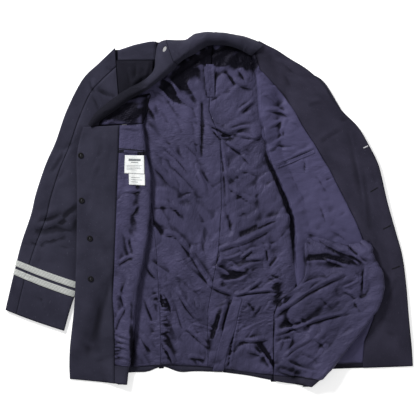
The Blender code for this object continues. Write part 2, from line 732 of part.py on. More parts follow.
def build_backs(parts):
    """Outer cloth of the back and sides, level on the surface, and their linings."""
    def no_turn_in_neck(s, t):
        return (t <= WRAP_FROM + 1e-4) | (back_right(s, t)[:, 0] < NECK_TURN_X)

    cloth("back_right", back_right, 8, 20, CLOTH, WOOL, parts, keep=no_turn_in_neck)
    cloth("back_left", level_panel(BACK_LEFT, FLOOR), 6, 12, CLOTH, WOOL, parts)
    cloth("side_right", level_panel(SIDE_RIGHT, FLOOR, right_side_seam), 4, 8, CLOTH, WOOL, parts)
    cloth("lining_back_right", back_lining(BACK_RIGHT, "right", LINING_WRAP_TOP), 7, 20, SATIN,
          LINING, parts)
    cloth("lining_back_left", back_lining(BACK_LEFT, "left"), 8, 20, SATIN, LINING, parts)
    cloth("lining_side_right", back_lining(SIDE_RIGHT, "side"), 4, 8, SATIN, LINING, parts)
    cloth("lining_vent", level_panel(VENT, LINING_TOP + GAP + SATIN / 2), 2, 6, SATIN, LINING, parts)


def matched_rows(place, hem_share, rows):
    def piece(s, t):
        return place(s, np.interp(t * rows, (0, 1, rows), (0, hem_share, 1)))
    return piece


def faceted(piece, columns, rows):
    """The flat faces that a piece has on its grid, as a function of s and t."""
    def place(s, t):
        i = np.clip((s * columns).astype(int), 0, columns - 1)
        j = np.clip((t * rows).astype(int), 0, rows - 1)
        a, b = (s * columns - i)[:, None], (t * rows - j)[:, None]
        low = piece(i / columns, j / rows) * (1 - a) + piece((i + 1) / columns, j / rows) * a
        high = (piece(i / columns, (j + 1) / rows) * (1 - a)
                + piece((i + 1) / columns, (j + 1) / rows) * a)
        return low * (1 - b) + high * b
    return place


def patch_on(panel, lining, seam_from, seam_to, hem, patch):
    """A small rectangular piece on a front's lining, placed by its upper corners in plan."""
    def place(s, t):
        x = patch.x_left + (patch.x_right - patch.x_left) * s
        y = patch.y_left + (patch.y_right - patch.y_left) * s - patch.high * (1 - t)
        share, v = panel.share_of(x, y)
        first, last = seam_from(v), seam_to(v)
        points = lining((share - first) / (last - first), (v - hem) / (1 - hem))
        points[:, 2] += SATIN + PLY_GAP + PATCH_ROOM
        return points
    return place


def build_front_right(parts, cutters):
    """The right front with its button holes, facing, lining, welt and labels, and its shoulder part."""
    rows, facing_columns, lining_columns = 13, 4, 9
    columns = facing_columns + lining_columns
    hem = FRONT_RIGHT_HEM / FRONT_RIGHT_LONG
    seam = FRONT_RIGHT_PANEL.seam(FACING_RIGHT_SEAM)
    seam_gap = FRONT_SEAM_GAP / FRONT_RIGHT_WIDE * FLAT_SHARE
    on_facing = between(FRONT_RIGHT_PANEL, at(0), lambda t: seam(t) - seam_gap, FACING_LIFT)
    shell = cloth("front_right", matched(FRONT_RIGHT_PANEL, seam, facing_columns, columns, hem, rows),
                  columns, rows, CLOTH, WOOL, parts)
    facing = cloth("facing_right", matched_rows(on_facing, hem, rows), facing_columns, rows, CLOTH, WOOL,
                   parts)
    for k, place in enumerate(BUTTON_PLACES):
        hole = oval_cutter(f"button_hole_{k + 1}", place.x, place.y, SHANK_HOLE, SHANK_HOLE, 0, cutters)
        cut(shell, hole)
        cut(facing, hole)
    lining = between(FRONT_RIGHT_PANEL, seam, at(1), SATIN_LIFT, hem)
    cloth("lining_front_right", lining, lining_columns, rows - 1, SATIN, LINING, parts)
    cloth("front_right_shoulder", shoulder_right, 5, 4, CLOTH, WOOL, parts)
    cloth("lining_armhole_right", armhole_right, 6, 5, SATIN, LINING, parts)
    on_lining = faceted(lining, lining_columns, rows - 1)
    for name, patch, thick, finish, across, up in (
            ("welt_right", WELT_RIGHT, SATIN, LINING, 5, 1),
            ("label_upper", LABEL_UPPER, PAPER, WHITE, 4, 3),
            ("label_lower", LABEL_LOWER, PAPER, WHITE, 3, 2)):
        cloth(name, patch_on(FRONT_RIGHT_PANEL, on_lining, seam, at(1), hem, patch), across, up, thick,
              finish, parts)


def build_front_left(parts):
    """The left front with its facing, lining and welt."""
    rows, facing_columns, lining_columns = 17, 5, 11
    columns = facing_columns + lining_columns
    hem = FRONT_LEFT_HEM / FRONT_LEFT_LONG
    seam = FRONT_LEFT_PANEL.seam(FACING_LEFT_SEAM)
    seam_gap = FRONT_SEAM_GAP / FRONT_LEFT_WIDE * FLAT_SHARE
    on_facing = between(FRONT_LEFT_PANEL, lambda t: seam(t) + seam_gap, at(1), FACING_LIFT)
    cloth("front_left", matched(FRONT_LEFT_PANEL, seam, lining_columns, columns, hem, rows), columns,
          rows, CLOTH, WOOL, parts)
    cloth("facing_left", matched_rows(on_facing, hem, rows), facing_columns, rows, CLOTH, WOOL, parts)
    lining = between(FRONT_LEFT_PANEL, at(0), seam, SATIN_LIFT, hem)
    cloth("lining_front_left", lining, lining_columns, rows - 1, SATIN, LINING, parts)
    on_lining = faceted(lining, lining_columns, rows - 1)
    cloth("welt_left", patch_on(FRONT_LEFT_PANEL, on_lining, at(0), seam, hem, WELT_LEFT), 9, 1, SATIN,
          LINING, parts)


def build_side_left(parts):
    """The left side panel, folded out over the front, and its lining."""
    rows, columns = 10, 12
    hem = BILLOW_HEM / BILLOW_LONG
    cloth("side_left", matched_rows(BILLOW_PANEL, hem, rows), columns, rows, CLOTH, WOOL, parts)
    cloth("lining_side_left", between(BILLOW_PANEL, at(0), at(1), SATIN_LIFT + GAP, hem), columns, rows - 1,
          SATIN, LINING, parts)


def build_collar(parts, cutters):
    gap = oval_cutter("notch_gap", NOTCH_X, NOTCH_Y, NOTCH_WIDE, NOTCH_HIGH, NOTCH_LEAN, cutters)
    under = between(roll(COLLAR_ROLL), at(0.1), at(0.9), -CLOTH - PLY_GAP - GAP)
    for name, place, rows in (("lapel_right", roll(LAPEL_ROLL), 11), ("top_collar", roll(COLLAR_ROLL), 12),
                              ("under_collar", under, 12)):
        cut(cloth(name, place, 8, rows, CLOTH, WOOL, parts), gap)


def column_of(stations, k):
    return np.interp(k, [station.column for station in stations], [station.s for station in stations])


def sleeve_piece(tube, stations, first, last):
    """The part of a sleeve between two of its grid columns."""
    def place(s, t):
        return tube(column_of(stations, first + (last - first) * s) - SLEEVE_SEAM * s, t)
    return place


def braid(tube, stations, t_from, t_to):
    """A braid sewn round a sleeve, on the sleeve's own grid lines."""
    def straight(s, t):
        k = np.minimum((t * SLEEVE_ROWS).astype(int), SLEEVE_ROWS - 1)
        share = (t * SLEEVE_ROWS - k)[:, None]
        return tube(s, k / SLEEVE_ROWS) * (1 - share) + tube(s, (k + 1) / SLEEVE_ROWS) * share

    def place(s, t):
        s = column_of(stations, s * SLEEVE_COLUMNS % SLEEVE_COLUMNS)
        return lifted(straight, s, t_from + (t_to - t_from) * t, CLOTH / 2 + PLY_GAP + BRAID / 2,
                      step=SLEEVE_END / 4)
    return place


def build_sleeves(parts):
    """Each sleeve's upper piece, its under piece that comes round to the hind-arm seam, and braids."""
    for side, table, stations in (("right", SLEEVE_RIGHT, ROUND_RIGHT), ("left", SLEEVE_LEFT, ROUND_LEFT)):
        tube = sleeve(table)
        cloth(f"sleeve_{side}_top", sleeve_piece(tube, stations, 0, UPPER_COLUMNS), UPPER_COLUMNS,
              SLEEVE_ROWS, CLOTH, WOOL, parts)
        cloth(f"sleeve_{side}_under", sleeve_piece(tube, stations, UPPER_COLUMNS, SLEEVE_COLUMNS),
              SLEEVE_COLUMNS - UPPER_COLUMNS, SLEEVE_ROWS, CLOTH, WOOL, parts)
        t = np.linspace(0, 1, 300)
        lines = along(table, t)
        steps = np.hypot(np.diff(lines.x_out + lines.x_in), np.diff(lines.y_out + lines.y_in)) / 2
        run = np.concatenate([[0], np.cumsum(steps)])
        for name, distance in BRAIDS:
            ends = np.interp((distance, distance + BRAID_WIDTH), run, t)
            cloth(f"braid_{side}_{name}", braid(tube, stations, *ends), SLEEVE_COLUMNS, 1, BRAID, SILVER,
                  parts, ring=True)


def build_button(name, place, parts):
    """A button on its shank through the front, held by the ring on the facing: one turned solid."""
    shell = float(FRONT_RIGHT_PANEL.height(np.array([float(place.x)]), np.array([float(place.y)]))[0])
    ring = shell + FACING_LIFT + CLOTH / 2 + GAP
    face = shell - CLOTH / 2 - GAP
    half, shank, button = RING_DIAMETER / 2, SHANK_DIAMETER / 2, BUTTON_DIAMETER / 2
    profile = ((0, ring + RING_THICK), (half - RING_ROUND, ring + RING_THICK),
               (half, ring + RING_THICK / 2), (half - RING_ROUND / 2, ring), (shank, ring),
               (shank, face), (button - 1, face),
               (button, face - 1), (button * 0.7, face - BUTTON_THICK + 0.5), (0, face - BUTTON_THICK))
    mesh = bmesh.new()
    verts = [mesh.verts.new((r * MM, 0, z * MM)) for r, z in profile]
    for first, second in zip(verts, verts[1:]):
        mesh.edges.new((first, second))
    bmesh.ops.spin(mesh, geom=mesh.verts[:] + mesh.edges[:], axis=(0, 0, 1), cent=(0, 0, 0),
                   steps=BUTTON_SIDES, angle=2 * math.pi, use_merge=True)
    bmesh.ops.remove_doubles(mesh, verts=mesh.verts, dist=0.01 * MM)
    bmesh.ops.recalc_face_normals(mesh, faces=mesh.faces)
    bmesh.ops.translate(mesh, vec=in_world(place.x, place.y), verts=mesh.verts)
    add_object(name, mesh, parts, METAL)


def main():
    for old in list(bpy.data.objects):
        bpy.data.objects.remove(old, do_unlink=True)
    parts = bpy.data.collections.new("dress_uniform_jacket")
    cutters = bpy.data.collections.new("cutters")
    for collection in (parts, cutters):
        bpy.context.scene.collection.children.link(collection)
    build_backs(parts)
    build_front_right(parts, cutters)
    build_front_left(parts)
    build_side_left(parts)
    build_collar(parts, cutters)
    build_sleeves(parts)
    for k, place in enumerate(BUTTON_PLACES):
        build_button(f"button_{k + 1}", place, parts)


main()
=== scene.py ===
"""Dress uniform jacket, laid on its back with both fronts turned open: the worn cloth's looks.

The shape tables are in millimetres, seen from above: X to the right, Y towards the collar, Z up from
the surface. Left and right in a name are the wearer's. Every cloth piece is a grid of points moved to
its place by a function that reads its table, then creased and given its wall.
"""
import math
from collections import namedtuple

import bmesh
import bpy
import numpy as np
from mathutils import Matrix, Vector


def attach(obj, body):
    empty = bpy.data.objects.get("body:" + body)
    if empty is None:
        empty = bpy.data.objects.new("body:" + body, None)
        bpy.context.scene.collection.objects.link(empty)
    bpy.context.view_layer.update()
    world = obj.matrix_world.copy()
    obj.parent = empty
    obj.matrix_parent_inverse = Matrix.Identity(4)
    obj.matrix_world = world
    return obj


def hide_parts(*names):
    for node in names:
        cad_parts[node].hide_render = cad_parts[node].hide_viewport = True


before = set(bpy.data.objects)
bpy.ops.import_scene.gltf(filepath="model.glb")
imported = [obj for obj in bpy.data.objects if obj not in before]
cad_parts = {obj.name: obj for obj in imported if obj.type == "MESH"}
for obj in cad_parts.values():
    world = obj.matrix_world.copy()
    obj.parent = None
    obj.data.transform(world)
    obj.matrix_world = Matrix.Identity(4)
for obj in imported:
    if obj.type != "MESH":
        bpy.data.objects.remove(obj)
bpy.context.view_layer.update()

MM = 0.001

# Walls and gaps
CLOTH = 1.6  # wool outer cloth with its fusing
SATIN = 1.0  # lining
BRAID = 1.0
PAPER = 1.0  # woven label
STRIP = 0.5  # a turned-in seam allowance, pressed
GAP = 0.3  # between pieces at a seam
FRONT_SEAM_GAP = 0.4  # along the front facings, where the cloth slopes
PLY_GAP = 0.5  # between two plies that lie on each other
PATCH_ROOM = 0.4  # more under a label or welt
SATIN_LIFT = CLOTH / 2 + PLY_GAP + SATIN / 2
FACING_LIFT = CLOTH / 2 + PLY_GAP + CLOTH / 2
FLOOR = CLOTH / 2  # middle of a wall that lies on the surface
LINING_ROOM = 0.9  # the back lining stands this far off its cloth

# How laid cloth passes over a thickness and rolls at its folds
LEVEL_REACH = 24.0  # a sheet stays up this far beside what it lies on
DROP = 34.0  # plan length in which it then comes down
FOLD_RADIUS = 4.6  # soft fold at the side of an opened front
FOLD_TAIL = 18.0  # stretch that goes on under the fold
FOLD_CLEAR = 3.6  # height of a fold over what it lies on, beside its own turn
SWELL_REACH = 46.0  # how far from the fold the cloth starts to rise
WRAP_RADIUS = 5.2  # back cloth that turns over the top of the shoulder
SHOULDER_CROWN = 1.2  # the shoulder's part of the right front swells this much

# Shares of a panel's grid taken by its flat part and by its turn
FLAT_SHARE = 0.64
TURN_SHARE = 0.92
WRAP_FROM, WRAP_TO = 0.7, 0.9

# The right front on its buttons, and what lies loosely
BUTTON_ROOM = 3.0  # it lies this much higher
BUTTON_ROOM_FROM_Y = -262.0
BUTTON_ROOM_REACH = 60.0
BUTTON_REACH = 42.0  # and stays level this far beside the sleeve, for the lowest button
BILLOW_GAP = 3.4  # the folded-out side panel lies loosely on the front
SLEEVE_FLOOR = FLOOR + 0.1
UNDER_ROLL = 2.4  # the seam allowance's depth under the lapel's and collar's roll
LOWEST_STRIP = 0.4

# Small gap at the lapel's notch, open through every layer
NOTCH_X, NOTCH_Y = -108.5, 386.0
NOTCH_WIDE, NOTCH_HIGH = 8.0, 15.0
NOTCH_LEAN = -24.0  # degrees

# Hems: the lining starts this far above the cloth's edge
FRONT_RIGHT_HEM = 44.0
FRONT_LEFT_HEM = 11.0
BACK_HEM = 13.0
BILLOW_HEM = 22.0
BACK_HEM_FADE = 12  # power by which the back's hem, and its waves, die away up the back
HEM_WAVE_FADE = 8
SEAM_LINE = 361.0  # the shoulder seam, forward of the shoulder's top

# Rough size of a folded panel's grid, by which a length becomes a share of it
FRONT_RIGHT_WIDE, FRONT_RIGHT_LONG = 165, 480
FRONT_LEFT_WIDE, FRONT_LEFT_LONG = 200, 730
BILLOW_LONG = 320

# Back lining
SIDE_SEAM_GAP = 0.3  # its side seam, and the cloth's
LINING_WRAP_TOP = 340.0 # the lining ends here below the shoulder's turn
ROW_SHARE = 0.0032  # a little more than one row of the back lining's grid
WRAP_TO_X = -118.0  # right of this the neck is under the lapel
OPEN_NECK_X = -127.0  # right of this the back has no turn over the shoulder
NECK_PULL_FROM_Y = 250.0
NECK_PULL_REACH = 150.0
FOLD_REACH = 8.0  # it lies flat this far beside a front's fold
FREE_REACH = 22.0
CREASE_REACH = 6.0  # and without creases this far
CREASE_FREE_REACH = 26.0
HIGHEST_FOLD = 7.0
CENTRE_X_OF_CRUMPLE = 10.0  # here the back's crumple changes its lean
CRUMPLE_CHANGE = 40.0
NECK_CRUMPLE_FROM_Y = 322.0
NECK_CRUMPLE_REACH = 30.0
DRAWN_SHARE = 1.15  # the back's drawn creases stand this much higher than their table
VENT_SHARE = 0.4

# Side lining's tail: it runs on past its upper edge, down under the front's lining
TAIL_SHARE = 0.10
TAIL_LONG = 34.0
TAIL_END_HEIGHT = 7.0
BILLOW_TOP_Y = -104.0
BILLOW_BESIDE = 8.0  # the front's lining stays flat this far beside the side panel
BILLOW_FREE_REACH = 14.0

# Lapel and collar
UNDER_COLLAR_FROM, UNDER_COLLAR_TO = 0.1, 0.9
ROLL_COLUMNS = 64  # enough to give the notch's gap its oval edge
LAPEL_SHADE = 3.2  # painted shade: the lapel's roll is darker from here down, away from the collar
LAPEL_SHADE_FROM_X = -122.0
LAPEL_SHADE_REACH = 62.0
# painted shade laid evenly over the right armhole's lining, under the lapel
ARMHOLE_SHADE = 1.5
SEAM_SHARE = 0.02  # share of the lapel's and collar's length that their seam's allowance takes

# Creases
VALLEY_ROUND = 0.9  # how softly a valley ends on the cloth below it
VALLEY_FLOOR = -0.15  # and how far under its smooth place
HOLLOW_REACH = 14  # steps of the grid over which a hollow's depth is read
GRID = 2.4  # step of the drawing's grid, on which creases and stitches are placed
GRID_X, GRID_Y = 210.0, 210.5  # its middle, counted from the upper left

# Grid columns round a sleeve: its upper piece first, then its under piece
UPPER_COLUMNS = 9
SLEEVE_COLUMNS = 18
SLEEVE_END = 0.12  # share of a sleeve's width on its grid that its rounded edge takes
SLEEVE_SEAM = 0.002  # its seams, as a share of the way round
SLEEVE_FINE = 44  # grid columns of each of its pieces
SLEEVE_PUFF = 2.2
SLEEVE_PUFF_ROUND = 0.5
CLEAR_OF_FRONT = 2.0  # it lies flat under the front and this far beside it
CLEAR_REACH = 16.0
CUFF_HOLD = 12  # how soon its creases start above the cuff
BRAID_WIDTH = 15.0
BRAID_FINE = 90
BRAID_STEP = 0.01  # share of the sleeve's grid over which a braid's normal is read

# Small parts
DROP_FROM = 150.0  # height from which a place on the jacket is looked for
STITCH_INSET = 1.4
HOLE_THREAD_PITCH, HOLE_THREAD_LONG, HOLE_THREAD_THICK = 1.0, 1.7, 0.75
HOLE_EDGE = 1.2
HOLE_FAN, HOLE_FAN_THREADS = 70, 6
SLIT_PITCH, SLIT_LONG, SLIT_THICK = 1.2, 2.6, 2.0
HOLE_PAST = 1  # a slit goes this far past its stitches
BUTTONHOLE_LONG, LAPEL_HOLE_LONG = 18.0, 9.0
RING_REACH, RING_WIRE = 5.4, 1.5  # to the middle of its wire, and the wire's radius
RING_STEPS, WIRE_SEGMENTS = 28, 8
SHANK_HALF = (1.4, 3.4, 0.8)
MARK_THICK, MARK_CELL = 0.16, 1.5
MARK_CLEAR = 0.05
NECK_PATCH_WIDE, NECK_PATCH_LONG = 19, 79
NECK_PATCH_LEAN = 3
NECK_PATCH_CLEAR, NECK_PATCH_LOWEST = 1.0, 6.0
NECK_PATCH_SMOOTH = 5

# How finely pieces are read and built
RUN_POINTS = 40  # places at which a length or an edge is read
LEAST_CELLS = 4
MERGE = 0.01  # points closer than this are one
SLEEVE_LINES = 300
FRONT_RIGHT_NET, FRONT_LEFT_NET, BILLOW_NET = (26, 13), (32, 18), (24, 10)  # columns, rows
ROUNDING = 1e-4
WRAP_TOP_MARGIN = 0.01

# Centre of the finished outline, so that the origin is at its bottom centre
CENTRE_X = -1.8
CENTRE_Y = 2.2

# Setting, in metres and watts
FLOOR_HALF = 3.0
FLOOR_BELOW = 0.0004
PAPER_GLOW = 0.45
SKY = 0.36
CAMERA_HEIGHT = 5.0
CAMERA_FAR = 20.0
CLOTH_MIDDLE = 0.012
VIEW_WIDTH = 0.9984
VIEW_X, VIEW_Y = -4.8, 6.0  # its middle, in the tables' millimetres
SENSOR = 36.0

Section = namedtuple("Section", "x_left y_left x_right y_right")
Tube = namedtuple("Tube", "x_out y_out x_in y_in bow floor depth")
Roll = namedtuple("Roll", "x_out y_out z_out x_top y_top z_top x_in y_in z_in")
Seam = namedtuple("Seam", "y x")
Mark = namedtuple("Mark", "x y")
Patch = namedtuple("Patch", "x_left y_left x_right y_right high")
Bar = namedtuple("Bar", "s_from s_to t_from t_to")
Fold = namedtuple("Fold", "x_from y_from x_to y_to width height")
Wave = namedtuple("Wave", "x reach height")
Station = namedtuple("Station", "column s")
Crease = namedtuple("Crease", "x_from y_from x_to y_to bend width height")
Pool = namedtuple("Pool", "x y long wide lean depth")
Crumple = namedtuple("Crumple", "seed low high size slope lean stretch sharp")
Strewn = namedtuple("Strewn", "seed count x_low x_high y_low y_high lean spread longest highest")
Puckered = namedtuple("Puckered", "x y slope y_low y_high count reach height")
Held = namedtuple("Held", "slack sides ends")
Strip = namedtuple("Strip", "x_from y_from x_to y_to width z_from z_to")
Sheet = namedtuple("Sheet", "cell wall finish width length area held rests_on")
Sewn = namedtuple("Sewn", "name pitch long thick finish lines")
Lamp = namedtuple("Lamp", "name place size power")
Finish = namedtuple("Finish", "material slot")

# -------- tables of sections, hem to top

def table_of(kind, *given):
    return tuple(kind(*row) for row in given)


FRONT_RIGHT = table_of(
    Section,
    (-337, -405, -204, -418), (-338, -352, -198, -362), (-332, -290, -192, -304),
    (-325, -220, -186, -232), (-322, -150, -176, -162), (-320, -78, -160, -85),
    (-319, 0, -151, 0), (-319, 75, -150, 75), (-319, 140, -162, 146),
    (-304, 200, -168, 207),
)
FACING_RIGHT_SEAM = table_of(
    Seam,
    (-410, -229), (-304, -229), (-208, -234), (-78, -228), (40, -224), (136, -220), (206, -217),
)
FRONT_LEFT = table_of(
    Section,
    (262, -382, 488, -374), (256, -330, 483, -318), (236, -252, 476, -248),
    (211, -160, 467, -143), (210, -85, 455, -84), (207, -12, 433, -10),
    (173, 67, 415, 67), (154, 106, 404, 110), (142, 148, 384, 152),
    (131, 203, 352, 205), (124, 250, 310, 246), (121, 288, 285, 281),
    (118, 322, 260, 318), (113, 352, 210, 352), (108, 372, 173, 378),
    (104, 390, 146, 392), (100, 404, 118, 406),
)
FACING_LEFT_SEAM = table_of(
    Seam,
    (-378, 367), (-315, 370), (-260, 392), (-190, 405), (-143, 395),
    (-95, 378), (-23, 349), (28, 323), (94, 290), (150, 257),
    (196, 227), (232, 207), (279, 174), (318, 138), (336, 120), (352, 116), (375, 110), (404, 103),
)
BACK_RIGHT = table_of(
    Section,
    (-118, -383, 30, -389), (-118, -300, 24, -300), (-120, -250, 21, -250),
    (-122, -200, 18, -200), (-126, -140, 15, -140), (-130, -80, 12, -80),
    (-150, 60, 8, 60), (-185, 150, 6, 150), (-199, 200, 5, 200),
    (-214, 290, 5, 290), (-221, 383, 2, 404),
)
BACK_LEFT = table_of(
    Section,
    (30.6, -389, 152, -409), (24.6, -300, 152, -300), (21.6, -250, 158, -250),
    (18.6, -200, 198, -200), (15.6, -140, 216, -140), (12.6, -80, 216, -80),
    (8.6, 60, 214, 60), (6.6, 150, 200, 150), (5.6, 200, 196, 200),
    (5.6, 290, 196, 290), (5.6, 408, 170, 362),
)
# Top of the back: along the shoulder, then down into the neck under the lapel
NECK_EDGE = table_of(
    Mark,
    (-222, 384), (-180, 398), (-142, 406), (-127, 405), (-118, 345),
    (-109, 330), (-95, 340), (-84, 350), (-62, 372), (-36, 386), (-20, 396), (2, 404),
)
SIDE_RIGHT = table_of(
    Section,
    (-208, -391, -118.6, -383), (-214, -300, -118.6, -300), (-214, -200, -122.6, -200),
    (-204, -80, -130, -80), (-194, -10, -139, -10), (-188, 34, -146, 34),
)
BILLOW = table_of(
    Section,
    (153, -410, 240, -423), (153, -384, 272, -392), (153, -345, 301, -356),
    (153, -300, 338, -312), (154, -262, 370, -270), (157, -230, 392, -236),
    (186, -200, 406, -200), (220, -170, 408, -168), (228, -135, 396, -135),
    (226, -98, 378, -100),
)
LINING_BACK_SEAM = table_of(
    Seam,
    (-375, -5), (-240, -5), (-100, 20), (11, 28), (170, 26), (240, -2), (350, 5),
)
VENT = table_of(
    Section,
    (6, -386, 33, -386), (18, -330, 46, -330), (32, -285, 60, -290),
    (44, -240, 70, -244), (56, -205, 79, -212),
)
SHOULDER_RIGHT = table_of(
    Section,
    (-217, 262, -139, 309), (-220.6, 300, -138, 326), (-223.4, 335, -137, 344),
    (-225, 360, -135, 360),
)
ARMHOLE_RIGHT = table_of(
    Section,
    (-268, 202.7, -161, 208.2), (-260, 222, -155, 226), (-240, 240, -148, 246),
    (-212, 262, -138, 284),
)
SLEEVE_RIGHT = table_of(
    Tube,
    (-491, -239, -351, -289, -6, 2.0, 5.0), (-472, -157, -328, -212, -6, 2.0, 5.0),
    (-453, -80, -291, -135, -4, 2.0, 5.0), (-430, -11, -262, -62, 0, 0.8, 5.2),
    (-418, 40, -247, 0, 0, 0.0, 5.2), (-395, 109, -230, 66, 0, 0.0, 5.2),
    (-370, 166, -218, 104, 0, 0.0, 5.2), (-344, 240, -210, 132, 0, 0.6, 5.2),
    (-306, 314, -207, 152, -4, 2.0, 5.2), (-266, 354, -205, 164, -8, 3.4, 5.2),
    (-228, 390, -207, 172, -3, 4.4, 5.2),
)
SLEEVE_LEFT = table_of(
    Tube,
    (297, -322, 441, -308, 6, 2.0, 5.0), (286, -240, 430, -228, 6, 2.0, 5.0),
    (272, -140, 413, -122, 4, 2.0, 5.0), (256, -50, 396, -25, 0, 0.8, 5.2),
    (240, 30, 378, 62, 0, 0.0, 5.2), (226, 90, 358, 140, 0, 0.0, 5.2),
    (217, 130, 330, 212, 0, 0.6, 5.2), (212, 152, 303, 262, 4, 2.0, 5.2),
    (208, 166, 272, 310, 8, 3.4, 5.2), (206, 176, 240, 329, 12, 4.4, 5.2),
)
LAPEL_ROLL = table_of(
    Roll,
    (-292, 206, 17.0, -288, 203, 21.0, -284, 200, 17.0),
    (-272, 236, 11.1, -265, 228, 27.0, -255, 222, 16.5),
    (-239, 262, 11.1, -229, 251, 31.0, -219, 247, 16.5),
    (-206, 286, 13.8, -196, 275, 33.0, -188, 269, 16.0),
    (-170, 305, 14.2, -160, 292, 34.0, -153, 289, 13.5),
    (-144, 322, 14.2, -134, 312, 35.0, -127, 308, 8.0),
    (-132, 343, 14.2, -119, 327, 36.0, -109, 322, 6.0),
    (-130, 372, 13.8, -107, 340, 36.0, -95, 332, 4.8),
    (-123, 401, 9.0, -97, 350, 36.5, -84, 342, 4.8),
    (-107, 410, 1.0, -89, 357, 37.0, -78, 350, 4.8),
)
COLLAR_ROLL = table_of(
    Roll,
    (-106, 410.5, 1.0, -88.2, 357.8, 37.0, -77.3, 350.8, 4.8),
    (-80, 409, 0.6, -68, 371, 38.0, -62, 364, 4.8), (-57, 410, 0.6, -48, 388, 39.0, -36, 377, 4.8),
    (-36, 424, 0.6, -29, 403, 40.0, -20, 388, 4.8), (-8, 427.5, 0.6, -4, 413, 40.0, -1, 397, 4.8),
    (30, 426, 0.6, 30, 412, 40.0, 30, 398, 4.8), (62, 421, 0.6, 58, 407, 39.0, 56, 393, 4.8),
    (88, 416, 0.6, 82, 399, 36.0, 76, 385, 4.8), (112, 407, 0.6, 101, 388, 31.0, 90, 377, 6.0),
    (130, 398, 2.0, 113, 383, 27.0, 100, 372, 12.0),
)

# Largest folds of the lining: ridges are positive, troughs negative
BACK_FOLDS = table_of(
    Fold,
    (-26, 240, -26, 120, 12, -3.0), (196, -18, 12, -122, 15, 5.0), (-72, -115, -8, -185, 16, 5.0),
    (-115, 150, -48, 86, 16, 4.0), (-60, 160, -16, 50, 15, 4.0), (-72, -208, -30, -270, 15, 4.5),
    (30, 150, 130, 200, 18, 3.5), (130, -80, 80, -150, 16, 4.5), (-118, -200, -118, -370, 14, 3.0),
    (14, -250, 40, -340, 14, -3.0),
)
BILLOW_FOLDS = table_of(
    Fold,
    (330, -152, 190, -250, 20, 9.0), (345, -250, 215, -308, 18, 8.0),
    (240, -330, 185, -372, 15, 6.0), (385, -150, 320, -120, 15, 5.0),
    (262, -268, 350, -212, 14, -3.0),
)
FRONT_LEFT_FOLDS = table_of(
    Fold,
    (155, 110, 258, 150, 14, 4.0), (140, 230, 215, 170, 18, 3.5), (235, -90, 350, -60, 18, 5.0),
    (215, 30, 300, -20, 16, 3.5),
)
FRONT_RIGHT_FOLDS = table_of(
    Fold,
    (-200, 150, -190, 20, 20, 2.5), (-205, -120, -195, -230, 14, 3.0),
    (-212, -300, -200, -380, 12, 2.5),
)
HEM_WAVES = (Wave(-115, 26, 8.0), Wave(-150, 22, -3.0), Wave(-70, 24, -4.0), Wave(90, 40, 2.0))

BUTTON_PLACES = (Mark(-310, 132), Mark(-308, 24), Mark(-288, -67), Mark(-286, -164))
WELT_RIGHT = Patch(-216, 149, -158, 143, 11)
WELT_LEFT = Patch(161, 111, 252, 147, 9)
LABEL_UPPER = Patch(-204, 131, -156, 129, 42)
LABEL_LOWER = Patch(-194, 88, -155, 86, 26)
BRAIDS = (("lower", 86.0), ("upper", 107.0))    # name, and distance from the cuff's edge
BUTTONHOLES = (         # middle, and lean in degrees
    (Mark(374, 152.5), 24),
    (Mark(394, 50), 30),
    (Mark(425, -40), 26),
    (Mark(446, -137), 20),
)

# Generic woven bars where the labels' text was, as shares of a label's width and height
UPPER_MARKS = (
    Bar(0.18, 0.80, 0.70, 0.82), Bar(0.30, 0.68, 0.60, 0.64), Bar(0.10, 0.88, 0.44, 0.46),
    Bar(0.10, 0.78, 0.36, 0.38), Bar(0.10, 0.84, 0.28, 0.30), Bar(0.10, 0.60, 0.20, 0.22),
)
LOWER_MARKS = (
    Bar(0.12, 0.70, 0.66, 0.70), Bar(0.12, 0.82, 0.46, 0.50), Bar(0.12, 0.56, 0.26, 0.30),
)

# Where the columns of a sleeve's grid lie round it, as shares from its left edge over the top
ROUND_RIGHT = table_of(
    Station,
    (0, 0.137), (4, 0.44), (8, 0.56), (9, 0.655), (12, 0.94), (16, 1.06), (18, 1.137),
)
ROUND_LEFT = table_of(
    Station,
    (0, -0.155), (1, -0.06), (5, 0.06), (9, 0.363), (11, 0.44), (15, 0.56), (18, 0.845),
)
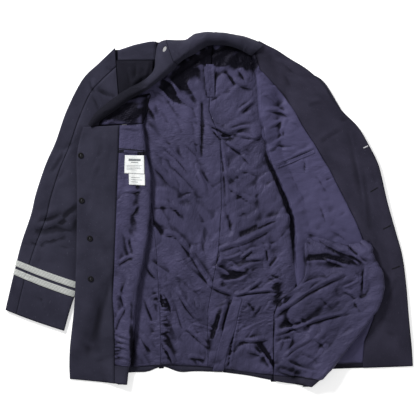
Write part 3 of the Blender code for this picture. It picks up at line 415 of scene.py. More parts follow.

# -------- tables of creases

# A crease's row: where it starts and ends on the drawing's grid, right and down from its upper left,
# then its bend, width and height in mm. Its ridge is on the left of its run, its sharp valley along
# it, and a negative height turns the two round. A pool is a patch of painted shade in a hollow, long
# and wide in steps of the grid, leaning in degrees counter-clockwise. A negative depth clears painted
# shade away.
BACK_CREASES = (
    # pleat down the centre and its two folds at the neck
    (199.5, 100, 199.0, 158, 0, 5.0, -3.6), (219.6, 138, 226, 206, 2, 5.0, 3.2),
    (204, 64, 208, 92, -3, 5.0, 3.0), (214, 66, 209, 101, 3, 5.0, -3.0),
    (209, 102, 221, 94, 0, 4.5, 2.6),
    # under the collar
    (157, 88, 174, 106, 4, 6.0, -4.0), (163, 80, 176, 95, 4, 6.0, 4.0),
    (175, 95, 194, 109, -2, 6.0, 3.6), (222, 73, 233, 88, 2, 6.0, -4.2),
    (232, 81, 256, 90, -4, 6.0, 3.6), (257, 97, 238, 111, 3, 6.5, -3.4),
    (238, 70, 246, 82, 0, 6.0, 3.2), (186, 84, 200, 104, 0, 6.5, 2.6),
    # star where the pleat opens
    (207, 125, 233, 139, 2, 5.0, 4.4), (231, 131, 258, 125, 4, 6.0, -4.2),
    (212, 130, 221, 140, 0, 4.0, 3.4), (221, 138, 233, 137, 0, 4.0, -3.4),
    (225, 143, 250, 165, 3, 5.0, 3.8), (233, 135, 264, 139, -4, 6.0, 3.4),
    (237, 114, 258, 98, 3, 5.5, -3.2), (228, 150, 246, 158, 0, 5.0, -2.6),
    (257, 182, 271, 172, 2, 5.5, -4.0), (228, 188, 254, 204, -2, 5.0, 3.6),
    (240, 172, 258, 176, 2, 6.0, 2.8), (232, 168, 240, 180, 0, 7.0, 2.4),
    # right of the back
    (162, 147, 189, 174, 3, 4.6, 4.2), (185, 144, 196, 156, 0, 5.0, 4.0),
    (194, 163, 204, 190, -4, 5.0, 4.0), (150, 165, 171, 188, 2, 6.0, 2.8),
    (172, 166, 194, 189, 0, 5.0, 2.6), (178, 200, 193, 195, 2, 6.0, -3.0),
    (150, 210, 172, 208, 5, 6.0, 3.6), (170, 207, 180, 216, 3, 6.0, 3.4),
    (148, 222, 160, 238, 3, 7.0, -3.6), (163, 235, 179, 240, 3, 5.0, 4.0),
    (178, 240, 208, 287, 3, 5.6, 5.4), (181, 258, 209, 287, -4, 5.0, -4.4),
    (177, 293, 197, 322, -3, 5.4, 5.0), (142, 258, 158, 280, -6, 5.6, 4.6),
    (150, 262, 168, 274, 0, 5.0, -3.4), (190, 244, 186, 262, 2, 7.0, 3.4),
    (202, 226, 199, 252, 2, 7.0, -2.8), (186, 330, 208, 349, 0, 5.0, 3.4),
    (193, 324, 217, 331, 2, 5.0, -4.0), (158, 292, 161, 308, 0, 4.0, -4.4),
    (163, 294, 171, 312, 2, 5.0, 4.2), (162, 347, 172, 364, 2, 5.4, 4.6),
    (188, 359, 204, 361, 2, 5.0, 3.0), (176, 310, 183, 332, 0, 6.0, 3.0),
    (144, 300, 152, 322, 2, 6.0, 2.8), (140, 336, 150, 352, -2, 5.6, 3.0),
    # left of the back
    (258, 229, 284, 219, 2, 6.0, 4.6), (218, 252, 286, 219, -11, 6.5, 5.2),
    (219, 251, 212, 267, 6, 5.6, 4.6), (212, 267, 233, 280, 7, 6.0, -5.0),
    (219, 259, 242, 252, -4, 6.5, -4.8), (242, 260, 253, 251, 0, 4.6, 4.0),
    (246, 262, 264, 261, 2, 5.6, 3.6), (221, 281, 250, 273, -7, 7.5, -6.4),
    (232, 270, 252, 274, -4, 6.0, 4.6), (235, 297, 273, 292, 2, 4.8, 5.2),
    (243, 295, 263, 281, -2, 5.0, 3.8), (271, 268, 279, 258, 0, 5.0, -4.2),
    (262, 240, 268, 262, 3, 6.0, 3.0), (222, 212, 228, 232, 3, 6.0, -3.2),
    (238, 216, 246, 212, 0, 5.0, 2.8), (206, 284, 232, 296, -4, 6.0, 4.4),
    (246, 304, 256, 320, 2, 5.0, -3.2), (252, 320, 262, 306, 0, 5.0, 3.4),
    (238, 342, 269, 340, -3, 4.6, 4.6), (244, 330, 268, 320, 2, 5.4, -3.4),
    (256, 344, 275, 374, 3, 6.0, -5.4), (246, 352, 262, 358, 2, 5.0, 3.0),
    (270, 300, 262, 312, 0, 5.0, 3.0),
    # vent: its standing edge and the dark valley beside it
    (229.6, 372, 243.4, 298, 3, 4.4, -4.6), (222, 336, 231, 300, 3, 8.0, 5.0),
    (214, 340, 222, 316, 0, 6.0, -3.4),
)
FRONT_RIGHT_CREASES = (
    (118, 266, 135, 258, 3, 5.0, 3.6), (116, 331, 129, 306, 4, 5.0, 3.8),
    (117, 335, 129, 340, 0, 3.6, 3.2), (116, 341, 128, 345, 0, 3.6, 3.4),
    (116, 347, 128, 351, 2, 3.8, 3.4), (117, 357, 129, 361, 2, 4.2, 3.4),
    (118, 369, 126, 372, 2, 5.0, 2.8), (123, 193, 141, 192, -2, 4.6, 3.0),
    (116, 203, 124, 196, 0, 5.0, -2.4), (132, 216, 140, 206, 0, 6.0, 2.8),
    (121, 130, 141, 133, 3, 5.0, 2.4), (126, 240, 131, 256, 0, 6.0, -2.6),
    (121, 296, 126, 318, 2, 6.0, 3.2), (127, 276, 122, 292, 2, 6.0, 3.0),
    (120, 222, 124, 244, 0, 7.0, 2.0),
)
FRONT_LEFT_CREASES = (
    (315, 147, 275, 166, -2, 4.6, -4.2), (297, 146, 268, 144, 4, 6.0, 3.4),
    (266, 146, 283, 136, -3, 5.0, -5.0), (283, 137, 289, 119, 2, 5.0, 3.8),
    (270, 153, 279, 144, 0, 4.6, 3.6), (265, 112, 290, 118, 4, 6.0, 3.8),
    (268, 130, 283, 122, 0, 5.5, 3.0), (262, 96, 276, 104, 2, 6.0, 2.8),
    (262, 82, 280, 88, -2, 5.6, -2.4), (290, 124, 300, 128, 2, 5.6, 3.0),
    (305, 157, 305, 174, 0, 5.0, 2.6), (326, 182, 334, 179, 0, 4.0, -3.4),
    (316, 176, 326, 192, 2, 6.0, 2.6), (296, 206, 310, 194, 2, 6.0, 2.8),
    (298, 190, 304, 204, 0, 6.0, -2.4), (318, 202, 326, 226, 2, 7.0, 2.4),
    (301, 232, 323, 238, 0, 6.0, 2.8), (330, 230, 352, 246, 3, 6.0, 3.0),
)
BILLOW_CREASES = (
    (297, 227, 364, 262, -9, 7.5, 7.0), (292, 232, 330, 250, -7, 6.5, 4.6),
    (342, 245, 370, 266, -2, 5.5, -4.6), (358, 242, 369, 251, 0, 5.0, 3.6),
    (303, 262, 350, 266, 8, 9.0, -4.0), (322, 258, 346, 268, -3, 5.0, 3.4),
    (340, 256, 358, 266, 2, 4.6, 3.6), (275.6, 318, 348, 275, 7, 6.2, 7.4),
    (297, 289, 327, 279, 6, 8.0, -5.0), (288, 296, 298, 274, 2, 5.4, 4.2),
    (282, 290, 285, 306, 0, 6.5, -3.6), (274.5, 337, 355, 313, 5, 5.6, 6.0),
    (283, 328, 312, 322, -3, 6.0, -4.6), (288, 320, 300, 333, 0, 4.6, 4.0),
    (298, 318, 309, 330, 0, 4.6, -3.6), (285, 359, 312, 339, 2, 4.8, 4.6),
    (286, 362, 321, 373, -3, 5.4, -5.6), (280, 352, 286, 336, 0, 5.0, 3.4),
    (312, 338, 326, 350, 2, 5.0, 3.0), (276, 344, 292, 340, 2, 5.0, -3.4),
    (362.7, 264, 361.6, 294, 2, 5.6, 4.8), (341, 291, 359, 303, 4, 5.2, 3.8),
    (341, 288, 357, 280, 0, 4.6, -3.2), (352, 300, 360, 312, 0, 5.6, 3.4),
    (320, 296, 332, 308, -2, 6.0, 2.6), (300, 352, 318, 362, 2, 5.6, 3.0),
    (278, 372, 300, 382, 2, 6.0, 3.2),
)
SLEEVE_CREASES = (
    (62, 150, 48, 172, 2, 6, -2.6), (70, 232, 40, 240, 3, 6, -3.4), (56, 243, 72, 250, 0, 5, 2.8),
    (30, 246, 44, 250, 0, 5, -2.4), (38, 262, 44, 240, 2, 5, 2.4), (20, 294, 44, 300, 2, 6, 2.2),
    (46, 300, 60, 318, -2, 6, 2.0), (76, 205, 64, 218, 2, 9, 6.0), (64, 217, 33, 227, 6, 10, -6.0),
    (40, 220, 60, 212, -4, 9, 4.6), (40, 228, 76, 230, -3, 7, 5.0), (76, 223, 48, 224, 3, 8, -4.0),
    (22, 243, 40, 244, 2, 6, 3.0), (62, 252, 76, 250, 2, 6, -3.0), (63, 233, 68, 243, 0, 7, 2.4),
    (39, 291, 46, 320, 4, 8, 3.0), (23, 279, 31, 296, -3, 8, 2.6), (84, 134, 60, 151, 3, 12, 3.6),
    (90, 80, 96, 93, -3, 8, 4.0), (94, 91, 115, 100, -4, 8, -4.0), (91, 95, 99, 111, 3, 9, 3.4),
    (79, 111, 82, 122, 0, 8, 2.4), (106, 66, 113, 71, 0, 6, 2.6), (66, 168, 54, 182, 2, 12, 2.4),
    (46, 256, 58, 262, 0, 8, 2.0),
)
FACING_RIGHT_CREASES = (
    (103, 130, 98, 176, 2, 10, 2.4), (97, 164, 90, 188, -2, 6, -2.6),
    (100, 246, 108, 268, 3, 6, -2.8), (80, 344, 92, 350, 0, 8, 1.6), (99, 151, 89, 184, -3, 9, 2.8),
    (92, 138, 95, 158, 2, 9, -2.6), (80, 220, 102, 238, -4, 10, 3.2),
    (101, 237, 114, 254, -3, 8, 2.8), (112, 262, 92, 284, 3, 12, 1.8),
    (104, 338, 114, 344, 0, 9, 1.8), (94, 362, 114, 358, 2, 8, 1.8), (92, 190, 84, 214, 0, 12, 1.8),
)
FACING_LEFT_CREASES = (
    (322, 144, 342, 132, 1, 4.5, -2.4), (356, 152, 366, 230, 4, 9, -2.6),
    (348, 132, 352, 146, 0, 6, 2.0), (338, 148, 346, 154, 2, 5, -1.8),
    (369, 168, 374, 184, 1, 6, -2.0), (352, 224, 372, 246, 3, 10, 1.8),
    (376, 268, 392, 284, 0, 10, 1.8), (380, 330, 402, 338, 2, 10, 1.6),
    (319, 145, 341, 131, 2, 8, 2.6), (341, 124, 350, 121, 0, 7, -1.8),
    (308, 107, 323, 103, 2, 7, 2.4), (349, 141, 366, 227, 5, 14, 1.8),
    (385, 299, 400, 278, 0, 9, 2.0), (372, 160, 377, 186, 0, 12, 1.8),
    (383, 226, 396, 260, 2, 14, 1.6), (330, 90, 348, 112, 2, 14, 1.8),
    (286, 76, 300, 92, 2, 12, 1.6),
)
SHOULDER_CREASES = (
    (126, 68, 130, 88, 2, 7, 4.6), (149, 62, 143, 84, 2, 7, -4.8), (134, 86, 147, 76, 0, 6, 4.0),
    (136, 64, 134, 80, 1, 7, 3.6),
)
POOLS = table_of(
    Pool,
    (70, 211, 12, 4, 38, 2.6), (58, 222, 20, 4, -4, 1.8), (72, 226, 8, 10, 60, 1.6),
    (52, 240, 16, 3, 0, 0.8), (66, 150, 20, 4, 52, 0.7), (288, 180, 30, 4, -74, -2.0),
    (298, 224, 22, 4, -82, -2.0), (280, 146, 18, 4, -72, -1.6), (264, 138, 22, 1.6, -80, 1.4),
    (273, 172, 20, 2.2, -66, 2.6), (285, 200, 20, 2.6, -68, 3.4), (293, 234, 24, 2.4, -86, 3.0),
    (214, 57, 46, 9, -3, 3.2), (172, 84, 18, 9, 40, 2.0), (358, 176, 34, 6, -76, 1.3),
    (374, 246, 44, 5, -78, 1.0), (346, 122, 18, 5, -50, 0.9), (326, 96, 20, 7, -44, 0.7),
    (391, 330, 40, 6, 88, 0.7), (184, 76, 20, 9, 42, 2.6), (172, 88, 8, 7, 60, 1.6),
    (196, 62, 14, 5, 8, 2.2), (220, 60, 16, 6, -8, 2.2), (228, 50, 24, 5, -6, 2.0),
    (253, 58, 6, 14, 12, 2.6), (244, 64, 10, 5, -35, 1.2), (322, 258, 22, 6, 3, 3.0),
    (350, 263, 14, 4, 6, 2.0), (277, 290, 18, 5, 92, 2.4), (291, 321, 16, 5, 12, 1.8),
    (322, 308, 12, 4, 20, 0.9), (263, 353, 16, 4, -58, 2.8), (286, 370, 16, 5, -25, 1.8),
    (163, 303, 8, 4, -55, 2.8), (168, 338, 24, 6, -82, 1.8), (140, 352, 8, 22, 0, 1.2),
    (217, 324, 28, 4, 68, 2.8), (240, 272, 13, 4, 14, 2.2), (228, 276, 9, 4, -20, 1.2),
    (243, 262, 12, 3, 10, 1.2), (158, 224, 10, 9, 20, 1.2), (152, 125, 6, 14, 0, 1.3),
    (147, 190, 3, 40, 0, 1.4), (131.5, 338, 48, 2.4, 91, 2.6), (257, 200, 2.5, 24, 8, 1.2),
    (246, 130, 8, 5, 0, 1.0), (227, 137, 9, 4, -20, 1.8), (181, 281, 10, 3, -38, 1.2),
    (196, 362, 20, 5, 6, 1.2), (128, 112, 22, 6, 3, 3.0), (119, 352, 4, 20, 0, 1.0),
    (276, 166, 12, 6, -30, 0.9), (296, 225, 10, 14, 30, 0.9), (305, 206, 32, 6, -78, -2.4),
)

# -------- tables of crumple, slack and trim

PLAIN_SHARP = 0.28      # how sharply patches of crumple pass into each other
BACK_RIGHT_CRUMPLE = (
    Crumple(5, (-220, -400), (30, 410), 34, 0.10, -52, 1.9, PLAIN_SHARP),
    Crumple(25, (-220, -400), (30, 410), 15, 0.13, -62, 2.4, 0.6),
)
BACK_LEFT_CRUMPLE = (
    Crumple(8, (0, -410), (220, 410), 34, 0.10, 30, 1.9, PLAIN_SHARP),
    Crumple(28, (0, -410), (220, 410), 15, 0.13, 36, 2.4, 0.6),
)
NECK_CRUMPLE = (Crumple(15, (-120, 320), (170, 410), 15, 0.34, 20, 1.4, PLAIN_SHARP),)
FRONT_RIGHT_CRUMPLE = (
    Crumple(3, (-240, -420), (-140, 210), 26, 0.08, -70, 1.8, PLAIN_SHARP),
    Crumple(23, (-240, -420), (-140, 210), 12, 0.10, -60, 2.2, 0.6),
)
ARMHOLE_CRUMPLE = (Crumple(9, (-270, 200), (-135, 290), 16, 0.3, 5, 2.2, PLAIN_SHARP),)
FRONT_LEFT_CRUMPLE = (
    Crumple(4, (105, -390), (410, 380), 32, 0.07, 30, 1.8, PLAIN_SHARP),
    Crumple(24, (105, -390), (410, 380), 14, 0.09, 24, 2.4, 0.6),
)
BILLOW_CRUMPLE = (
    Crumple(6, (145, -430), (415, -95), 30, 0.12, 28, 1.9, PLAIN_SHARP),
    Crumple(26, (145, -430), (415, -95), 14, 0.12, 32, 2.4, 0.6),
)
COLLAR_CRUMPLE = (Crumple(33, (-300, 190), (140, 440), 17, 0.10, 40, 1.8, PLAIN_SHARP),)

BACK_STREWN = Strewn(7, 150, -190, 215, -370, 330, -20, 50, 60, 1.5)
COLLAR_STREWN = Strewn(31, 90, -290, 130, 200, 430, 30, 45, 44, 1.7)
SLEEVE_STREWN = Strewn(12, 40, -470, -240, -280, 330, -20, 40, 60, 1.2)

BACK_PUCKERS = (
    Puckered(-118, 0, 0, -360, -190, 34, 22, 2.4),
    Puckered(151, 0, 0, -360, -170, 22, 18, 1.8),
    Puckered(76, -215, 0.27, -375, -225, 26, 18, 2.2),
)
FRONT_RIGHT_PUCKERS = (Puckered(-230, 0, 0, -360, -290, 20, 20, 2.0),)

# How loosely a creased piece lies, in mm, and how soon its creases die away at its sides and ends
HELD = {
    "back": Held(2.6, 0, 60),
    "vent": Held(3.0, 12, 24),
    "facing_right": Held(0.5, 14, 40),
    "facing_left": Held(0.6, 14, 40),
    "front": Held(1.6, 40, 60),
    "shoulder": Held(0.8, 8, 8),
    "armhole": Held(2.0, 8, 8),
    "side": Held(2.4, 60, 60),
    "collar": Held(0.6, 9, 12),
    "under_patch_right": Held(1.3, 16, 60),
    "under_patch_left": Held(1.2, 20, 60),
}

# Turned-in seam allowances, which show where two pieces meet, in a darker wool that is painted shade in
# the seams' gaps
ALLOWANCES = {
    "allowance_armhole": Strip(-220, 268, -224, 386, 12, 4.5, 7.0),
    "allowance_side_back": Strip(-117, -380, -134, -60, 12, 0.3, 0.3),
    "allowance_side_left": Strip(152, -412, 154, -262, 12, 0.3, 0.3),
    "allowance_side_front": Strip(206, -160, 206, -212, 16, 1.8, 1.8),
    "allowance_side_upper": Strip(-143, 36, -138, -52, 14, 1.8, 1.8),
    "allowance_back_neck": Strip(3, 320, 5, 412, 12, 1.7, 1.7),
    "allowance_collar": Strip(-122, 362, -122, 404, 16, 7.0, 8.0),
}


def braid(side, round_it):
    return Sheet(2.5, BRAID, "silver", round_it, 0.015, None, "folded",
                 (f"sleeve_{side}_top", f"sleeve_{side}_under"))


def allowance(wide, long, under):
    return Sheet(6, STRIP, "wool_in_shade", wide, long, None, "laid", (under,))


# Every sheet: its grid's cell and its wall in mm, its finish, what shows of the cut in metres and
# square metres, how it lies and on what
SHEETS = {
    "back_right": Sheet(8, CLOTH, "wool", 0.310, 0.850, 0.133, "folded", ("floor",)),
    "back_left": Sheet(12, CLOTH, "wool", 0.210, 0.800, 0.140, "laid", ("floor",)),
    "side_right": Sheet(12, CLOTH, "wool", 0.100, 0.430, 0.034, "laid", ("floor",)),
    "lining_back_right": Sheet(2.6, SATIN, "lining", 0.260, 0.840, 0.145, "laid", ("back_right",)),
    "lining_back_left": Sheet(2.6, SATIN, "lining", 0.220, 0.840, 0.148, "laid", ("back_left",)),
    "lining_side_right": Sheet(2.6, SATIN, "lining", 0.100, 0.430, 0.034, "laid", ("side_right",)),
    "lining_vent": Sheet(2.6, SATIN, "lining", 0.035, 0.195, 0.0056, "laid", ("lining_back_right",)),
    "front_right": Sheet(7, CLOTH, "wool", 0.205, 0.630, 0.115, "folded",
                         ("lining_back_right", "sleeve_right_top")),
    "facing_right": Sheet(5, CLOTH, "wool", 0.110, 0.625, 0.059, "folded", ("front_right",)),
    "lining_front_right": Sheet(2.6, SATIN, "lining", 0.125, 0.605, 0.061, "folded", ("front_right",)),
    "front_right_shoulder": Sheet(4, CLOTH, "wool_in_shade", 0.092, 0.098, 0.0063, "laid",
                                  ("sleeve_right_top", "back_right")),
    "lining_armhole_right": Sheet(2.6, SATIN, "lining", 0.112, 0.087, 0.0062, "laid",
                                  ("lining_back_right",)),
    "front_left": Sheet(7, CLOTH, "wool_left", 0.290, 0.920, 0.194, "folded",
                        ("lining_back_left", "sleeve_left_top")),
    "facing_left": Sheet(4, CLOTH, "wool_left", 0.132, 0.920, 0.078, "laid", ("front_left",)),
    "lining_front_left": Sheet(2.6, SATIN, "lining_front", 0.225, 0.865, 0.124, "folded",
                               ("front_left",)),
    "side_left": Sheet(6, CLOTH, "wool_left", 0.280, 0.392, 0.071, "folded",
                       ("front_left", "lining_back_left")),
    "lining_side_left": Sheet(2.6, SATIN, "lining", 0.312, 0.400, 0.084, "folded", ("side_left",)),
    "lapel_right": Sheet(2.0, CLOTH, "wool", 0.110, 0.297, 0.0144, "folded",
                         ("front_right_shoulder", "lining_back_right")),
    "top_collar": Sheet(2.0, CLOTH, "wool", 0.110, 0.247, 0.0192, "folded", ("under_collar",)),
    "under_collar": Sheet(2.0, CLOTH, "wool", 0.082, 0.243, 0.0129, "folded", ("lining_back_left",)),
    "sleeve_right_top": Sheet(5, CLOTH, "wool", 0.232, 0.660, 0.098, "folded", ("sleeve_right_under",)),
    "sleeve_right_under": Sheet(6, CLOTH, "wool", 0.212, 0.695, 0.100, "laid", ("floor",)),
    "sleeve_left_top": Sheet(5, CLOTH, "wool", 0.174, 0.641, 0.085, "folded", ("sleeve_left_under",)),
    "sleeve_left_under": Sheet(6, CLOTH, "wool", 0.152, 0.685, 0.083, "laid", ("floor",)),
    "braid_right_lower": braid("right", 0.331),
    "braid_right_upper": braid("right", 0.340),
    "braid_left_lower": braid("left", 0.306),
    "braid_left_upper": braid("left", 0.305),
    "welt_right": Sheet(2, SATIN, "lining", 0.057, 0.012, None, "laid", ("lining_front_right",)),
    "welt_left": Sheet(2, SATIN, "lining_front", 0.100, 0.010, None, "laid", ("lining_front_left",)),
    "label_upper": Sheet(2, PAPER, "label", 0.048, 0.043, None, "laid", ("lining_front_right",)),
    "label_lower": Sheet(2, PAPER, "label", 0.039, 0.026, None, "laid", ("lining_front_right",)),
    "allowance_armhole": allowance(0.012, 0.118, "back_right"),
    "allowance_side_back": allowance(0.012, 0.320, "floor"),
    "allowance_side_left": allowance(0.012, 0.150, "floor"),
    "allowance_side_front": allowance(0.016, 0.052, "floor"),
    "allowance_side_upper": allowance(0.014, 0.088, "back_right"),
    "allowance_back_neck": allowance(0.012, 0.092, "back_left"),
    "allowance_roll": Sheet(3, STRIP, "wool_in_shade", 0.010, 0.086, 0.00065, "folded", ("under_collar",)),
    "allowance_collar": allowance(0.016, 0.042, "back_right"),
    "neck_patch": Sheet(3.0, SATIN, "lining", 0.019, 0.079, None, "laid", ("lining_back_right",)),
}

# Stitching along lines on the drawing's grid: pitch, and each thread's length and thickness, in mm
STITCHING = (
    Sewn("welt_stitches", 3.2, 2.3, 0.5, "thread",
         (((118, 150.5), (145, 153)), ((269, 166), (314, 152)), ((269, 162.5), (314, 148.5)))),
    Sewn("facing_stitches", 4.0, 2.6, 0.5, "thread",
         (((114.6, 128), (112.6, 200), (112.4, 250), (114.6, 335), (114.6, 366)),
          ((286, 100), (318, 149), (346, 200), (358, 226)),
          ((80, 363), (112, 365)))),
    Sewn("hem_stitches", 5.0, 2.8, 0.55, "thread",
         (((137, 371), (160, 368), (200, 372), (230, 371), (268, 377)), ((371, 366), (396, 363)))),
    # Along the right pocket's mouth, a near-black row of thick threads is painted shade of the opening;
    # the short rows at its ends are its bar tacks.
    Sewn("pocket_shade_and_tacks", 1.8, 3.2, 2.4, "ring",
         (((118.5, 148.6), (146.8, 151.2)),
          *(((x, y + k * 1.1), (x + wide, y + 0.3 + k * 1.1))
            for x, y, wide in ((118.5, 150.2, 5.0), (137.5, 152.2, 9.0)) for k in range(3)))),
    Sewn("lapel_stitches", 4.0, 2.6, 0.5, "thread", (((120, 62.5), (154, 63.5)),)),
)
LABEL_STITCHES = Sewn("label_stitches", 2.6, 1.9, 0.45, "pale_thread", ())
NECK_PATCH_FOOT = (206, 97)

LAMPS = (
    Lamp("key", (-2.1, 2.3, 2.3), 0.9, 175.0),
    Lamp("fill", (2.4, -1.4, 2.6), 2.2, 26.0),
)


# -------- reading the tables

def along(table, v):
    """Every column of a table at v, 0 at its first row and 1 at its last, on a smooth curve."""
    rows = np.array(table, float)
    place = np.clip(v, 0, 1) * (len(rows) - 1)
    k = np.minimum(place.astype(int), len(rows) - 2)
    t = (place - k)[:, None]
    before, here, after, beyond = (rows[np.clip(k + i, 0, len(rows) - 1)] for i in (-1, 0, 1, 2))
    curve = (2 * here + (after - before) * t
             + (2 * before - 5 * here + 4 * after - beyond) * t ** 2
             + (3 * here - before - 3 * after + beyond) * t ** 3) / 2
    return type(table[0])(*curve.T)


def smoothstep(x):
    x = np.clip(x, 0, 1)
    return x * x * (3 - 2 * x)


def on_line(row, s):
    """The point in plan at a share of a section line."""
    return row.x_left + (row.x_right - row.x_left) * s, row.y_left + (row.y_right - row.y_left) * s


def seam_x(seam, y):
    return np.interp(y, [row.y for row in seam], [row.x for row in seam])


def folds(x, y, table):
    """Height that a table of folds adds: a soft ridge or trough along each line, fading at its ends."""
    total = np.zeros_like(x)
    for fold in table:
        run = np.array([fold.x_to - fold.x_from, fold.y_to - fold.y_from], float)
        length = np.hypot(*run)
        run /= length
        far = (x - fold.x_from) * run[0] + (y - fold.y_from) * run[1]
        side = (y - fold.y_from) * run[0] - (x - fold.x_from) * run[1]
        past = np.maximum(np.maximum(-far, far - length), 0)
        total += fold.height * np.exp(-(side ** 2 + past ** 2) / fold.width ** 2)
    return total


def lifted(place, s, t, lift, step=1e-3):
    """Points of a panel moved out along its own normals."""
    ds = place(s + step, t) - place(s - step, t)
    dt = place(s, t + step) - place(s, t - step)
    normal = np.cross(ds, dt)
    normal /= np.maximum(np.linalg.norm(normal, axis=1), 1e-12)[:, None]
    return place(s, t) + lift * normal


# -------- how the layers lie on each other

class Layer:
    """Something that a sheet lies on: its section lines in plan and the height of its upper side."""
    lines = 70
    far_away = 1e9

    def __init__(self, table, top, surface=None, reach=LEVEL_REACH):
        self.reach = reach
        rows = along(table, np.linspace(0, 1, self.lines))
        self.ends = np.stack(rows[:4], axis=1)
        self.tops = top(rows) * np.ones(self.lines)
        self.surface = surface

    def height(self, x, y):
        """Upper side at each point, read from the nearest section line, and falling off beside it."""
        nearest = np.full(x.shape, self.far_away)
        top = np.zeros(x.shape)
        for (ax, ay, bx, by), line_top in zip(self.ends, self.tops):
            dx, dy = bx - ax, by - ay
            f = np.clip(((x - ax) * dx + (y - ay) * dy) / (dx * dx + dy * dy), 0, 1)
            away = np.hypot(x - ax - f * dx, y - ay - f * dy)
            top = np.where(away < nearest, line_top, top)
            nearest = np.minimum(nearest, away)
        if self.surface:
            top = self.surface(x, y)
        return top * smoothstep(1 - (nearest - self.reach) / DROP)


def resting(x, y, layers):
    """Middle height of a cloth wall that lies on these layers, or else on the surface."""
    top = np.zeros_like(x)
    for layer in layers:
        top = np.maximum(top, layer.height(x, y))
    return top + GAP * np.clip(top, 0, 1) + FLOOR


class FoldedPanel:
    """A laid panel with a soft fold along one side, where the cloth turns under.

    s runs from its left edge to its right one and t from its hem up. fold is 1 where the fold is
    the right edge and -1 where it is the left one.
    """
    edge_lines = 90
    lookup_lines = 200
    off_panel = 999.0

    def __init__(self, table, fold, layers, under_fold, room=None, ridges=()):
        self.table, self.fold = table, fold
        self.layers, self.under_fold = layers, under_fold
        self.room, self.ridges = room, ridges
        rows = along(table, np.linspace(0, 1, self.edge_lines))
        edge = (rows.y_right, rows.x_right) if fold > 0 else (rows.y_left, rows.x_left)
        order = np.argsort(edge[0])
        self.edge_y, self.edge_x = edge[0][order], edge[1][order]

    def edge(self, y):
        return np.interp(y, self.edge_y, self.edge_x)

    def left_edge(self, y):
        rows = along(self.table, np.linspace(0, 1, self.edge_lines))
        return np.interp(y, rows.y_left, rows.x_left, left=self.off_panel, right=self.off_panel)

    def height(self, x, y):
        """Middle height of the panel's cloth, which rises towards its fold."""
        inward = self.fold * (self.edge(y) - x)
        swell = (2 * FOLD_RADIUS + FOLD_CLEAR) * smoothstep(1 - inward / SWELL_REACH)
        z = resting(x, y, self.layers)
        if self.room:
            z = z + self.room(y)
        z = np.maximum(z, resting(x, y, self.under_fold) + swell)
        return z + np.maximum(folds(x, y, self.ridges), 0)

    def __call__(self, s, t):
        row = along(self.table, t)
        share = s if self.fold > 0 else 1 - s
        across = np.clip(share / FLAT_SHARE, 0, 1)
        turn = np.clip((share - FLAT_SHARE) / (TURN_SHARE - FLAT_SHARE), 0, 1) * math.pi
        tail = np.clip((share - TURN_SHARE) / (1 - TURN_SHARE), 0, 1) * FOLD_TAIL
        if self.fold < 0:
            across = 1 - across
        x, y = on_line(row, across)
        z = self.height(x, y) - FOLD_RADIUS * (1 - np.cos(turn))
        x = x + self.fold * (FOLD_RADIUS * np.sin(turn) - tail)
        return np.stack([x, y, z], axis=1)

    def share(self, x, row):
        """Where x lies on a row of the panel, as s."""
        across = (x - row.x_left) / (row.x_right - row.x_left)
        return across * FLAT_SHARE + (0 if self.fold > 0 else 1 - FLAT_SHARE)

    def share_of(self, x, y):
        """Where a point in plan lies on the panel, as s and t."""
        v = np.linspace(0, 1, self.lookup_lines)
        rows = along(self.table, v)
        t = np.interp(y, (rows.y_left + rows.y_right) / 2, v)
        return self.share(x, along(self.table, np.atleast_1d(t))), t

    def seam(self, seam):
        """A seam's place on the panel, as a function of t."""
        def at_row(t):
            row = along(self.table, t)
            return self.share(seam_x(seam, (row.y_left + row.y_right) / 2), row)
        return at_row


LINING_TOP = CLOTH + PLY_GAP + SATIN + LINING_ROOM
ON_BACK = tuple(Layer(table, lambda rows: LINING_TOP) for table in (BACK_RIGHT, BACK_LEFT, SIDE_RIGHT))


def sleeve_top(rows):
    """Upper side of a sleeve with its braid."""
    return SLEEVE_FLOOR + CLOTH / 2 + rows.floor + rows.depth + BRAID + 2 * GAP


ON_SLEEVE_RIGHT = Layer(SLEEVE_RIGHT, sleeve_top, reach=BUTTON_REACH)
ON_SLEEVE_LEFT = Layer(SLEEVE_LEFT, sleeve_top)


def button_room(y):
    return BUTTON_ROOM * smoothstep((y - BUTTON_ROOM_FROM_Y) / BUTTON_ROOM_REACH)


def armhole_right(s, t):
    """Lining of the right armhole, deep under the lapel."""
    row = along(ARMHOLE_RIGHT, t)
    x, y = on_line(row, s)
    z = resting(x, y, ON_BACK + (ON_SLEEVE_RIGHT,)) - FLOOR + SATIN / 2
    return np.stack([x, y, z], axis=1)


FRONT_RIGHT_PANEL = FoldedPanel(FRONT_RIGHT, 1, ON_BACK + (ON_SLEEVE_RIGHT,), ON_BACK, button_room,
                                FRONT_RIGHT_FOLDS)
FRONT_LEFT_PANEL = FoldedPanel(FRONT_LEFT, -1, ON_BACK + (ON_SLEEVE_LEFT,), ON_BACK, None,
                               FRONT_LEFT_FOLDS)


def front_left_top(x, y):
    return FRONT_LEFT_PANEL.height(x, y) + FACING_LIFT + CLOTH / 2 + BILLOW_GAP


ON_FRONT_LEFT = Layer(FRONT_LEFT, lambda rows: 0, front_left_top)
BILLOW_PANEL = FoldedPanel(BILLOW, 1, (ON_BACK[1], ON_FRONT_LEFT), (ON_BACK[1], ON_FRONT_LEFT), None,
                           BILLOW_FOLDS)


# -------- level panels, sleeves and rolls

def level_panel(table, height, meets=None):
    """A panel that lies level: s across, t from the hem up, with the hem's waves."""
    def place(s, t):
        row = along(table, t)
        right = row.x_right if meets is None else meets(row.y_right) - SIDE_SEAM_GAP
        x = row.x_left + (right - row.x_left) * s
        y = row.y_left + (row.y_right - row.y_left) * s
        for wave in HEM_WAVES:
            y = y + wave.height * np.exp(-((x - wave.x) / wave.reach) ** 2) * (1 - t) ** HEM_WAVE_FADE
        return np.stack([x, y, np.full_like(x, height)], axis=1)
    return place


